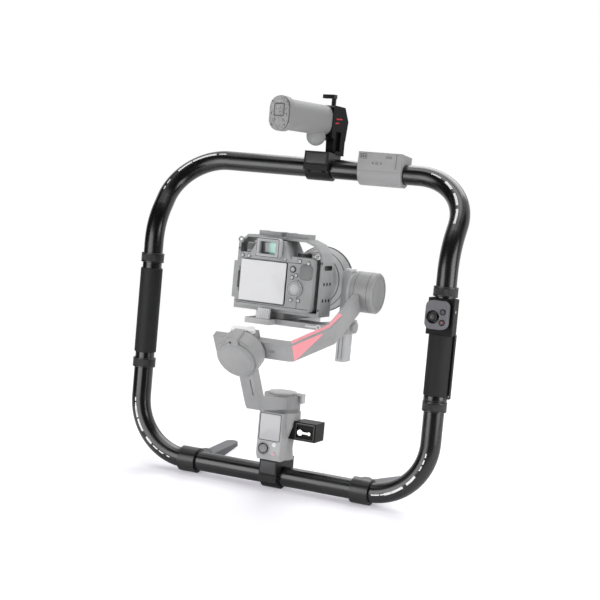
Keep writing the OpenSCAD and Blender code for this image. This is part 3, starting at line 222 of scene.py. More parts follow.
def others(name, places):
    """Names and moves of the copies of a numbered piece that stands at the first of several places."""
    first = Vector(places[0])
    return [(f"{name}_{index}", Vector(place) - first) for index, place in enumerate(places) if index]


def settle(
    piece, space, body, finish, slot, edge=0.0, rounds=2, smooth=40, closed=False, copies=(), bodies=()
):
    """Softens the edges of a piece, puts it in its frame, paints it, copies it and hangs it on its body.

    Each copy has a name and a move in millimetres; bodies are those that the copies ride on, if others.
    """
    if not closed:
        close_mesh()
    if edge:
        apply_modifier(
            piece, "BEVEL", width=edge * MM, segments=rounds, limit_method="ANGLE", angle_limit=SHARP
        )
    bpy.ops.object.mode_set(mode="OBJECT")
    piece.matrix_world = space
    bpy.ops.object.transform_apply(location=True, rotation=True, scale=True)
    bpy.ops.object.shade_smooth_by_angle(angle=radians(smooth))
    piece.data.materials.clear()
    piece.data.materials.append(bpy.data.materials[finish])
    turn = space.to_3x3()
    row = [piece] + [copy_piece(piece, name, turn @ move * MM) for name, move in copies]
    for piece, body in zip(row, [body, *(bodies or [body] * len(copies))]):
        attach(piece, body)


def outline_plate(name, points, height):
    """A flat plate over an outline of points, from z = 0 upwards."""
    ring = bpy.ops.mesh.primitive_circle_add
    piece = begin(name, ring, vertices=len(points), radius=10 * MM, fill_type="NGON")
    bpy.ops.mesh.select_mode(type="VERT")
    for index, (x, y) in enumerate(points):
        bpy.ops.mesh.select_all(action="DESELECT")
        shape = bmesh.from_edit_mesh(piece.data)
        shape.verts.ensure_lookup_table()
        corner = shape.verts[index]
        move = Vector((x, y, 0)) * MM - corner.co
        corner.select_set(True)
        shape.select_flush_mode()
        bmesh.update_edit_mesh(piece.data)
        bpy.ops.transform.translate(value=move)
    bpy.ops.mesh.select_all(action="SELECT")
    bpy.ops.mesh.extrude_region_move(TRANSFORM_OT_translate={"value": Vector((0, 0, height)) * MM})
    return piece


def open_middle(piece, width, inside):
    """Cuts a plate that lies across the y axis through its middle, leaving a rim of one width."""
    for way in (TO_REAR, TO_FRONT):
        press(piece, way, [(width, 0)])
        bpy.ops.mesh.delete(type="FACE")
    pick(piece, lambda place, line: inside(place), "EDGE")
    bpy.ops.mesh.bridge_edge_loops()


# Kinds of trim, each shaped, painted and hung on its body
def round_trim(
    name, place, radius, height, steps, body, finish, slot, space=RING, way=TO_REAR, sides=40, **how
):
    """A round plate with a stepped face."""
    piece = disc(name, place, radius, height, way, sides)
    press(piece, way, steps)
    settle(piece, space, body, finish, slot, **how)


def round_row(name, places, *shape, **how):
    """Numbered copies of one round piece at several places."""
    round_trim(f"{name}_0", places[0], *shape, copies=others(name, places), **how)


def flat_trim(
    name, low, high, corner, steps, body, finish, slot, space=RING, way=TO_REAR, corner_rounds=6, **how
):
    """A box with rounded corners along one direction and a stepped face."""
    piece = block(name, low, high)
    if corner:
        round_corners(piece, way, corner, corner_rounds)
    if steps:
        press(piece, way, steps)
    settle(piece, space, body, finish, slot, **how)


def frame_trim(name, low, high, corner, width, body, finish, slot, space=RING, **how):
    """A flat frame with rounded corners between two corners of a box."""
    piece = block(name, low, high)
    round_corners(piece, TO_REAR, corner)
    low, high = Vector(low), Vector(high)
    middle, reach = (low + high) / 2, (high - low) / 2 - Vector((1, 1, 1)) * width / 2
    open_middle(
        piece, width, lambda spot: abs(spot.x - middle.x) < reach.x and abs(spot.z - middle.z) < reach.z
    )
    settle(piece, space, body, finish, slot, **how)


def ring_trim(name, place, outer, inner, height, body, finish, slot, sides=48, **how):
    """A flat ring whose back rests at a place."""
    piece = disc(name, place, outer, height, sides=sides)
    middle = Vector((place[0], place[2]))
    open_middle(piece, outer - inner, lambda spot: (spot.xz - middle).length < (outer + inner) / 2)
    settle(piece, RING, body, finish, slot, **how)


def hoop_trim(name, place, radius, thickness, sides, finish, slot):
    """A round hoop on the camera, about its lens's direction."""
    piece = begin(
        name, bpy.ops.mesh.primitive_torus_add, major_radius=radius * MM, minor_radius=thickness * MM,
        major_segments=sides, minor_segments=12, location=Vector(place) * MM, rotation=(pi / 2, 0, 0),
    )
    settle(piece, RING, "camera", finish, slot)


# Effects that the finishes share
def new_group(name, inputs, outputs):
    tree = bpy.data.node_groups.new(name, "ShaderNodeTree")
    for label, value in inputs:
        entry = tree.interface.new_socket(name=label, in_out="INPUT", socket_type="NodeSocketFloat")
        entry.default_value = value
    for label, kind in outputs:
        tree.interface.new_socket(name=label, in_out="OUTPUT", socket_type=kind)
    return tree, tree.nodes.new("NodeGroupInput"), tree.nodes.new("NodeGroupOutput")


def add(tree, kind, values=None, **settings):
    made = tree.nodes.new(kind)
    for key, value in settings.items():
        setattr(made, key, value)
    for key, value in (values or {}).items():
        made.inputs[key].default_value = value
    return made


def wire(tree, *links):
    """Joins outputs to inputs, each given by its node and its socket."""
    for source, output, target, entry in links:
        tree.links.new(source.outputs[output], target.inputs[entry])


def grain_group():
    """Fine cast or moulded grain, as a height."""
    tree, source, sink = new_group(
        "fine_grain", [("Scale", 1500.0), ("Pebble", 0.4)], [("Height", "NodeSocketFloat")]
    )
    place = add(tree, "ShaderNodeTexCoord")
    noise = add(tree, "ShaderNodeTexNoise", {"Detail": 3.0, "Roughness": 0.6})
    cells = add(tree, "ShaderNodeTexVoronoi")
    mix = add(tree, "ShaderNodeMix", data_type="FLOAT")
    wire(
        tree, (place, "Object", noise, "Vector"), (place, "Object", cells, "Vector"),
        (source, "Scale", noise, "Scale"), (source, "Scale", cells, "Scale"), (source, "Pebble", mix, 0),
        (noise, 0, mix, 2), (cells, "Distance", mix, 3), (mix, 0, sink, "Height"),
    )


def handling_group():
    """Broad soft patches where a surface was handled, from 0 to 1."""
    tree, source, sink = new_group("handling", [("Scale", 14.0)], [("Patch", "NodeSocketFloat")])
    place = add(tree, "ShaderNodeTexCoord")
    noise = add(tree, "ShaderNodeTexNoise", {"Detail": 5.0, "Roughness": 0.55, "Distortion": 0.4})
    spread = add(tree, "ShaderNodeMapRange", {"From Min": 0.35, "From Max": 0.65})
    wire(
        tree, (place, "Object", noise, "Vector"), (source, "Scale", noise, "Scale"),
        (noise, 0, spread, "Value"), (spread, "Result", sink, "Patch"),
    )


def edge_group():
    """A softened normal, and a mask that is 1 along the edges."""
    tree, source, sink = new_group(
        "edge_softening", [("Radius", 0.0006)],
        [("Edge", "NodeSocketFloat"), ("Normal", "NodeSocketVector")],
    )
    bevel = add(tree, "ShaderNodeBevel", samples=6)
    flat = add(tree, "ShaderNodeNewGeometry")
    dot = add(tree, "ShaderNodeVectorMath", operation="DOT_PRODUCT")
    mask = add(tree, "ShaderNodeMapRange", {"From Min": 0.995, "From Max": 0.8})
    wire(
        tree, (source, "Radius", bevel, "Radius"), (bevel, "Normal", dot, 0), (flat, "Normal", dot, 1),
        (dot, "Value", mask, "Value"), (mask, "Result", sink, "Edge"), (bevel, "Normal", sink, "Normal"),
    )


def speck_group():
    """Sparse pale specks of dust or moulded fleck, from 0 to 1."""
    tree, source, sink = new_group(
        "specks", [("Scale", 400.0), ("Amount", 0.1)], [("Speck", "NodeSocketFloat")]
    )
    place = add(tree, "ShaderNodeTexCoord")
    cells = add(tree, "ShaderNodeTexVoronoi")
    near = add(tree, "ShaderNodeMath", operation="LESS_THAN")
    wire(
        tree, (place, "Object", cells, "Vector"), (source, "Scale", cells, "Scale"),
        (cells, "Distance", near, 0), (source, "Amount", near, 1), (near, 0, sink, "Speck"),
    )


def use(tree, name, **values):
    made = tree.nodes.new("ShaderNodeGroup")
    made.node_tree = bpy.data.node_groups[name]
    for key, value in values.items():
        made.inputs[key.title()].default_value = value
    return made


def shade(colour, share):
    return tuple(min(1.0, part * share) for part in colour[:3]) + (1.0,)


def colour_mix(tree, factor, low, high):
    """A colour between two others, which may be colours or sockets."""
    mix = add(tree, "ShaderNodeMix", data_type="RGBA")
    for value, socket in ((factor, mix.inputs[0]), (low, mix.inputs[6]), (high, mix.inputs[7])):
        if isinstance(value, bpy.types.NodeSocket):
            tree.links.new(value, socket)
        else:
            socket.default_value = value
    return mix.outputs[2]


def new_paint(name):
    paint = bpy.data.materials.new(name)
    paint.use_nodes = True
    return paint.node_tree, paint.node_tree.nodes["Principled BSDF"]


# How far roughness varies, on finishes and on glass, and how deep the grain's relief is
ROUGH_SPREAD = 0.05
HAZE_SPREAD = 0.08
GRAIN_DEPTH = 0.3 * MM


def make_finish(
    name, colour, rough, metal=0.0, gloss=0.5, grain=2400.0, bump=0.04, pebble=0.4, edge=0.6, wear_and_highlight=1.6,
    wear_and_highlight_amount=0.5, patch=0.12, fleck=None,
):
    """A solid finish with grain, handled patches, edges softened in millimetres and a lighter edge colour
    that is partly wear and partly painted highlight.
    """
    tree, shader = new_paint(name)
    shader.inputs["Metallic"].default_value = metal
    shader.inputs["Specular IOR Level"].default_value = gloss
    handled = use(tree, "handling")
    edges = use(tree, "edge_softening", radius=edge * MM)
    grainy = use(tree, "fine_grain", scale=grain, pebble=pebble)
    body = colour_mix(tree, handled.outputs["Patch"], shade(colour, 1 - patch), shade(colour, 1 + patch))
    if fleck:
        scale, amount, speck = fleck
        specks = use(tree, "specks", scale=scale, amount=amount)
        body = colour_mix(tree, specks.outputs["Speck"], body, speck)
    # Edges lighter by a factor: partly wear, partly a painted highlight where edges catch the light
    worn_and_lit = add(tree, "ShaderNodeMath", {1: wear_and_highlight_amount}, operation="MULTIPLY")
    tinted = colour_mix(tree, worn_and_lit.outputs[0], body, shade(colour, wear_and_highlight))
    tree.links.new(tinted, shader.inputs["Base Color"])
    dull = add(tree, "ShaderNodeMapRange", {"To Min": rough - ROUGH_SPREAD, "To Max": rough + ROUGH_SPREAD})
    relief = add(tree, "ShaderNodeBump", {"Strength": bump, "Distance": GRAIN_DEPTH})
    wire(
        tree, (edges, "Edge", worn_and_lit, 0), (handled, "Patch", dull, "Value"),
        (dull, "Result", shader, "Roughness"), (grainy, "Height", relief, "Height"),
        (edges, "Normal", relief, "Normal"), (relief, "Normal", shader, "Normal"),
    )


def make_glass(name, stops, start, width, rough=0.06):
    """A glossy pane whose colour runs across it, set on the pane by its place and width."""
    tree, shader = new_paint(name)
    shader.inputs["Coat Weight"].default_value = 0.4
    place = add(tree, "ShaderNodeTexCoord")
    parts = add(tree, "ShaderNodeSeparateXYZ")
    run = add(tree, "ShaderNodeMapRange", {"From Min": start * MM, "From Max": (start + width) * MM})
    ramp = add(tree, "ShaderNodeValToRGB")
    elements = ramp.color_ramp.elements
    while len(elements) < len(stops):
        elements.new(0.5)
    for element, (at, colour) in zip(elements, stops):
        element.position = at
        element.color = colour[:3] + (1.0,)
    haze = use(tree, "handling", scale=40.0)
    dull = add(tree, "ShaderNodeMapRange", {"To Min": rough, "To Max": rough + HAZE_SPREAD})
    wire(
        tree, (place, "Object", parts, 0), (parts, "X", run, "Value"), (run, "Result", ramp, "Fac"),
        (ramp, "Color", shader, "Base Color"), (haze, "Patch", dull, "Value"),
        (dull, "Result", shader, "Roughness"),
    )


def colour_property(name, description, default):
    return bpy.props.FloatVectorProperty(
        name=name, description=description, subtype="COLOR", size=3, min=0.0, max=1.0, default=default
    )


def length_property(name, description, default):
    return bpy.props.FloatProperty(
        name=name, description=description, default=default * MM, min=0.0, unit="LENGTH",
        subtype="DISTANCE", precision=5,
    )


class RigColours(bpy.types.PropertyGroup):
    """Colours of the rig's finishes."""

    tube: colour_property("Tube", "Satin black of the ring's tubes", tone(17, 17, 18))
    rubber: colour_property("Rubber", "Black rubber of the left grip", tone(38, 38, 39))
    palm: colour_property("Palm", "Charcoal of the moulded right grip", tone(43, 43, 44))
    black: colour_property("Black", "Black of the clamps, collars and rings", tone(30, 30, 31))
    head: colour_property("Control head", "Grey of the control head", tone(104, 104, 109))
    leg: colour_property("Leg", "Dark grey coat of the legs", tone(98, 98, 102))
    gimbal: colour_property("Gimbal", "Pale grey of the gimbal's arms and motors", tone(160, 160, 161))
    camera: colour_property("Camera", "Grey of the camera body", tone(166, 167, 168))
    cage: colour_property("Cage", "Grey of the camera cage", tone(160, 161, 162))
    grip: colour_property("Battery grip", "Grey of the battery grip and module box", tone(158, 158, 159))
    screen: colour_property("Screen", "Pale tone of the screens", tone(206, 206, 209))
    mark: colour_property("Mark", "White of the printed dashes", tone(246, 246, 246))
    flash: colour_property("Flash", "Pink of the patches on the roll arm", tone(250, 160, 168))
    dash: colour_property("Dash", "Red of the two dashes on the adapter", tone(214, 32, 44))


class RigSizes(bpy.types.PropertyGroup):
    """Sizes of the small fittings."""

    thin_dash: length_property("Thin dash", "Width of the thin dashes on the elbows", 1.9)
    wide_dash: length_property("Wide dash", "Width of the wide dashes on the elbows", 3.6)
    knurl: length_property("Knurl", "Height of the knurl points on the lock rings", 0.4)
    print_lift: length_property("Print", "How far printed marks stand above a surface", 0.12)
    knurl_count: bpy.props.IntProperty(
        name="Knurl count", description="Knurl points round a lock ring", default=84, min=24, max=160
    )
    lamp_level: bpy.props.FloatProperty(
        name="Lamp level", description="Strength of the studio lamps", default=1.0, min=0.1, max=4.0,
        subtype="FACTOR",
    )


# Which finish paints which solids
PAINTED = {
    "tube_black": ("bottom_tube", "top_tube", "left_grip_tube", "right_grip_tube"),
    "grip_rubber": ("left_grip_sleeve",),
    "palm_rubber": ("right_grip_sleeve",),
    "machined_black": (
        "upper_left_lock_ring", "lower_left_lock_ring", "upper_right_lock_ring", "lower_right_lock_ring",
        "left_leg_collar", "right_leg_collar", "thumb_lever",
    ),
    "clamp_black": ("base_clamp_block", "base_clamp_cap", "top_clamp_block", "top_clamp_cap"),
    "bracket_black": ("control_bracket", "grip_adapter", "side_bracket"),
    "head_grey": ("control_head",),
    "stick_rubber": ("control_stick",),
    "button_black": ("control_mode_button", "control_record_button"),
    "camera_button": ("handle_record_button",),
    "leg_coat": ("left_leg", "right_leg"),
    "screw_steel": ("fasteners", "control_stick_cross", "handle_stick_cross"),
    "bright_steel": ("wing_screw",),
    "gimbal_grey": ("pan_arm", "roll_motor", "roll_arm", "tilt_motor"),
    "gimbal_dark": ("handle_stick", "handle_trigger", "pan_motor", "roll_clamp", "slide_plate"),
    "gimbal_light": ("gimbal_handle",),
    "latch_pale": ("plate_latch", "pan_lock_lever", "tilt_post"),
    "plate_pale": ("base_plate",),
    "cap_white": ("tilt_lock_lever", "roll_lock_lever", "handle_mode_button"),
    "camera_grain": ("camera_body", "lens_barrel"),
    "camera_smooth": ("mode_dial", "rear_wheel", "shutter_button"),
    "camera_dark": ("camera_screen", "focus_ring"),
    "cage_coat": ("camera_cage",),
    "cup_rubber": ("eyecup",),
    "grip_grey": ("battery_grip",),
    "module_grey": ("module_box",),
    "display_pale": ("handle_display",),
}


class RIG_OT_finishes(bpy.types.Operator):
    """Makes the finishes and paints every solid of the rig"""

    bl_idname = "rig.finishes"
    bl_label = "Finishes"

    def ring_finishes(self, hue):
        dust = (260.0, 0.05, shade(tone(120, 120, 122), 1.0))
        make_finish(
            "tube_black", hue.tube, 0.24, gloss=0.6, grain=2600, bump=0.03, fleck=dust, wear_and_highlight_amount=0.2
        )
        make_finish(
            "grip_rubber", hue.rubber, 0.55, gloss=0.2, grain=1500, bump=0.35, pebble=0.8, wear_and_highlight_amount=0.2
        )
        make_finish(
            "palm_rubber", hue.palm, 0.6, gloss=0.12, grain=1900, bump=0.25, pebble=0.6, wear_and_highlight_amount=0.2
        )
        make_finish("machined_black", shade(hue.black, 0.75), 0.32, bump=0.05, edge=0.5, wear_and_highlight=3.5)
        make_finish("clamp_black", hue.black, 0.38, gloss=0.2, grain=2200, bump=0.06, wear_and_highlight=3.0)
        make_finish(
            "bracket_black", shade(hue.black, 0.36), 0.45, gloss=0.14, grain=2000, bump=0.08, wear_and_highlight=2.5
        )
        make_finish("head_grey", hue.head, 0.55, grain=1800, bump=0.08, edge=1.2, wear_and_highlight=1.5)
        make_finish("stick_rubber", tone(28, 28, 29), 0.55, gloss=0.35, grain=2600, bump=0.2, wear_and_highlight=3.0)
        make_finish("button_black", tone(52, 52, 54), 0.4, gloss=0.45, wear_and_highlight=2.2)
        make_finish("leg_coat", hue.leg, 0.5, gloss=0.4, grain=1800, bump=0.08, edge=1.0, wear_and_highlight=1.5)
        make_finish("screw_steel", tone(70, 70, 72), 0.3, metal=1.0, grain=3000, bump=0.03, wear_and_highlight=1.8)
        make_finish("bright_steel", tone(196, 195, 190), 0.34, metal=1.0, grain=3000, bump=0.02, wear_and_highlight=1.1)

    def carried_finishes(self, hue):
        for name, share, rough, wear_and_highlight in (
            ("gimbal_grey", 1.0, 0.5, 1.25),
            ("gimbal_dark", 0.78, 0.5, 1.3),
            ("gimbal_light", 1.32, 0.45, 1.15),
            ("plate_pale", 1.35, 0.45, 1.1),
            ("latch_pale", 1.7, 0.4, 1.1),
        ):
            make_finish(name, shade(hue.gimbal, share), rough, edge=1.0, wear_and_highlight=wear_and_highlight)
        make_finish("gimbal_seam", shade(hue.gimbal, 0.4), 0.55, wear_and_highlight=1.4)
        make_finish(
            "clamp_panel", shade(hue.black, 3.7), 0.34, gloss=0.35, grain=2200, bump=0.06, edge=0.4,
            wear_and_highlight=2.0,
        )
        make_finish("module_grey", shade(hue.grip, 1.08), 0.5, grain=1700, bump=0.1, edge=1.2, wear_and_highlight=1.15)
        make_finish("cap_white", tone(236, 236, 236), 0.45, bump=0.03, wear_and_highlight=1.05)
        make_finish("camera_grain", hue.camera, 0.6, grain=1300, bump=0.3, pebble=0.9, edge=1.4, wear_and_highlight=1.5)
        make_finish("camera_smooth", shade(hue.camera, 1.2), 0.5, bump=0.05, wear_and_highlight=1.4)
        make_finish("camera_dark", shade(hue.camera, 0.2), 0.5, bump=0.05)
        make_finish("camera_mid", shade(hue.camera, 0.58), 0.6, grain=1100, bump=0.35, pebble=0.9, wear_and_highlight=1.3)
        make_finish("camera_button", tone(196, 197, 198), 0.4, bump=0.03, wear_and_highlight=1.3)
        make_finish("cage_coat", hue.cage, 0.48, gloss=0.4, grain=2200, bump=0.06, edge=0.9, wear_and_highlight=1.5)
        make_finish(
            "cup_rubber", shade(hue.camera, 1.4), 0.65, gloss=0.3, grain=1700, bump=0.2, edge=2.0, wear_and_highlight=1.5
        )
        make_finish(
            "grip_grey", hue.grip, 0.52, grain=1700, bump=0.1, edge=1.2, wear_and_highlight=1.2,
            fleck=(520.0, 0.12, shade(hue.grip, 1.12)),
        )
        make_finish(
            "cap_speckle", shade(hue.grip, 1.25), 0.5, grain=900, bump=0.25, edge=1.0, wear_and_highlight=1.2,
            fleck=(300.0, 0.3, shade(hue.grip, 0.6)),
        )

    def prints_and_panes(self, hue):
        for name, colour, rough, patch in (
            ("print_white", hue.mark, 0.5, 0.03), ("print_pink", hue.flash, 0.5, 0.03),
            ("print_red", hue.dash, 0.45, 0.05),
        ):
            make_finish(name, colour, rough, bump=0.02, edge=0.1, wear_and_highlight=1.0, patch=patch)
        # Near black for painted shade in holes, slots and button wells, and for the studio flags
        make_finish("pocket_dark", tone(12, 12, 13), 0.5, gloss=0.2, bump=0.02, wear_and_highlight=1.5)
        screen = tuple(hue.screen)
        tints = [(0.0, shade(screen, 0.93)), (0.6, shade(screen, 1.0)), (1.0, shade(screen, 1.05))]
        make_glass("screen_pale", tints, -50, 74)
        tints = [(0.0, shade(screen, 0.74)), (1.0, shade(screen, 0.8))]
        make_glass("display_pale", tints, -18, 36, 0.3)
        # Finder glass: dark grey running through teal into white, a painted reflection on the glass
        tints = [
            (0.0, tone(96, 98, 98)), (0.42, tone(112, 118, 116)), (0.6, tone(150, 205, 192)),
            (0.82, tone(176, 222, 212)), (1.0, tone(236, 240, 240)),
        ]
        make_glass("finder_reflection", tints, -17, 25)
        # Front lens: dark purple running through blue, a painted sheen of its coating
        tints = [(0.0, tone(28, 24, 44)), (0.5, tone(18, 34, 48)), (1.0, tone(40, 26, 52))]
        make_glass("lens_coating_sheen", tints, -37, 66, 0.03)

    def execute(self, context):
        hue = context.scene.rig_colours
        for build in (grain_group, handling_group, edge_group, speck_group):
            build()
        self.ring_finishes(hue)
        self.carried_finishes(hue)
        self.prints_and_panes(hue)
        for finish, nodes in PAINTED.items():
            for node in nodes:
                slots = NODES[node].data.materials
                slots.clear()
                slots.append(bpy.data.materials[finish])
        left = [node for node in NODES if not any(node in nodes for nodes in PAINTED.values())]
        if left:
            raise RuntimeError(f"no finish for {left}")
        return {"FINISHED"}


class RIG_OT_lock_bands(bpy.types.Operator):
    """Knurled bands in the grooves of the four lock rings"""

    bl_idname = "rig.lock_bands"
    bl_label = "Lock ring bands"

    def execute(self, context):
        size = context.scene.rig_sizes
        height, wall, rows = 9.0 * MM, 0.8 * MM, 7
        rings = ("upper_left", "lower_left", "upper_right", "lower_right")
        nodes = [ring + "_lock_ring" for ring in rings]
        low, high, middle = span_mm(nodes[0], RING)
        piece = begin(
            rings[0] + "_knurl", bpy.ops.mesh.primitive_cylinder_add, vertices=size.knurl_count,
            radius=(high.x - low.x) / 2 * MM - 1.1 * size.knurl, depth=height, location=middle * MM,
            end_fill_type="NOTHING",
        )
        pick(piece, along(UPWARD), "EDGE")
        bpy.ops.mesh.subdivide(number_cuts=rows - 1)
        close_mesh()
        bpy.ops.mesh.poke(offset=size.knurl)
        apply_modifier(piece, "SOLIDIFY", thickness=wall, offset=-1.0)
        copies = [
            (ring + "_knurl", span_mm(node, RING)[2] - middle) for ring, node in zip(rings[1:], nodes[1:])
        ]
        settle(
            piece, RING, nodes[0], "machined_black", "black_metal", smooth=20, closed=True, copies=copies,
            bodies=nodes[1:],
        )
        return {"FINISHED"}


class RIG_OT_elbow_dashes(bpy.types.Operator):
    """Plain white dashes printed along the four elbows"""

    bl_idname = "rig.elbow_dashes"
    bl_label = "Elbow dashes"

    def dash(self, name, space, bend, start, end, around, width, lift):
        """One dash spun along an elbow, between angles that run up from the frame's x axis."""
        start, end, around = radians(start), radians(end), radians(around)
        sides, step, thickness = 720, radians(1.5), 0.8 * lift
        piece = begin(
            name, bpy.ops.mesh.primitive_circle_add, vertices=sides, radius=TUBE_R + lift,
            location=(bend, 0, 0),
        )
        half = width / (2 * TUBE_R)
        middle = Vector((bend, 0, 0)) / MM
        outward = Vector((cos(around), -sin(around), 0))
        pick(piece, lambda place, way: outward.angle(place - middle) > half, "VERT")
        bpy.ops.mesh.delete(type="VERT")
        bpy.ops.mesh.select_all(action="SELECT")
        steps = max(2, int((end - start) / step))
        bpy.ops.mesh.spin(steps=steps, angle=end - start, center=(0, 0, 0), axis=TO_REAR)
        close_mesh()
        apply_modifier(piece, "SOLIDIFY", thickness=thickness, offset=-1.0)
        turn = Matrix.Rotation(-start, 4, "Y")
        settle(piece, space @ turn, "ring", "print_white", "white_cap", closed=True)

    def execute(self, context):
        size = context.scene.rig_sizes
        thin, wide = size.thin_dash, size.wide_dash
        low_run = (
            (9, 12.5, thin), (14, 20, thin), (21.5, 28, thin), (28, 37, wide), (39.5, 53, wide),
            (56, 68, wide), (68, 73, thin), (74.5, 79, thin), (81, 85, thin),
        )
        high_run = (
            (1, 5, thin), (6.5, 12.5, thin), (13.5, 31.5, wide), (34.5, 50.5, wide), (53.5, 66, wide),
            (66, 71.5, thin), (73.5, 82, thin),
        )
        low, high = span("lower_right_lock_ring", RING)
        tube_at = (low.x + high.x) / 2
        low_bend, high_bend, high_start = 0.087, 0.082, 0.018
        kink_at, kink_bend, kink_lean = 0.332, 0.098, radians(-34)
        kink = Matrix.Translation((0, kink_bend, kink_at)) @ Matrix.Rotation(kink_lean, 4, "X")
        high_space = RING @ kink @ Matrix.Translation((0, -kink_bend, 0))
        for side, name, low_around, high_around in ((1, "right", 87, 94), (-1, "left", 84, 85)):
            low_at = RING @ Matrix.Translation((side * (tube_at - low_bend), 0, low_bend))
            high_at = high_space @ Matrix.Translation((side * (tube_at - high_bend), 0, high_start))
            for level, run, first, space, bend, around in (
                ("lower", low_run, -90, low_at, low_bend, low_around),
                ("upper", high_run, 0, high_at, high_bend, high_around),
            ):
                for index, (start, end, width) in enumerate(run):
                    ends = (first + start, first + end)
                    if side < 0:
                        ends = (180 - ends[1], 180 - ends[0])
                    self.dash(
                        f"{level}_{name}_dash_{index}", space, bend, *ends, around, width, size.print_lift
                    )
        return {"FINISHED"}


class RIG_OT_control_trim(bpy.types.Operator):
    """Wells painted as dark rings of shade, screws, red dot and stick dish on the control head, and the band
    under the palm grip
    """

    bl_idname = "rig.control_trim"
    bl_label = "Control trim"

    def execute(self, context):
        low, _, middle = span_mm("control_record_button", RING)
        round_trim(
            "record_dot", (middle.x, low.y + SEAT, middle.z), 1.2, 0.16, [(0.3, 0.06)],
            "control_record_button", "print_red", "record_white",
        )
        face = span_mm("control_head", RING)[0].y
        # Near-black rings of painted shade round the two buttons, where their wells lie in shade
        for node in ("control_mode_button", "control_record_button"):
            low, high, middle = span_mm(node, RING)
            radius = (high.x - low.x) / 2
            ring_trim(
                node + "_well", (middle.x, face + SEAT, middle.z), radius + 1.3, radius + 0.25, 0.2,
                "ring", "pocket_dark", "black_plastic", edge=0.05,
            )
        right = span_mm("control_bracket", RING)[1].x
        for name, place, way in (
            ("bracket_screw", (right - SEAT, -9, 280), TO_RIGHT),
            ("bracket_tail_screw", (260.6, 1.02, 157), TO_REAR),
        ):
            round_trim(
                name, place, 2.0, 0.9, [(0.5, 0), (0.25, -0.3)], "ring", "bright_steel", "steel", way=way,
                edge=0.2,
            )
        sleeve_end = span_mm("right_grip_sleeve", RING)[0].z
        _, high, middle = span_mm("lower_right_lock_ring", RING)
        round_trim(
            "palm_band", (middle.x, middle.y, high.z + 0.9), TUBE_R / MM + 2.2, sleeve_end - high.z - 1.2,
            [(0.6, 0.1)], "ring", "tube_black", "black_tube", way=UPWARD, sides=96, edge=0.6, rounds=3,
        )
        low, _, middle = span_mm("control_stick", RING)
        round_trim(
            "control_stick_dish", (middle.x, low.y + 0.7, middle.z), 3.6, 0.5, [(0.7, -0.15), (1.0, 0.3)],
            "control_stick", "button_black", "black_rubber", edge=0.1,
        )
        return {"FINISHED"}


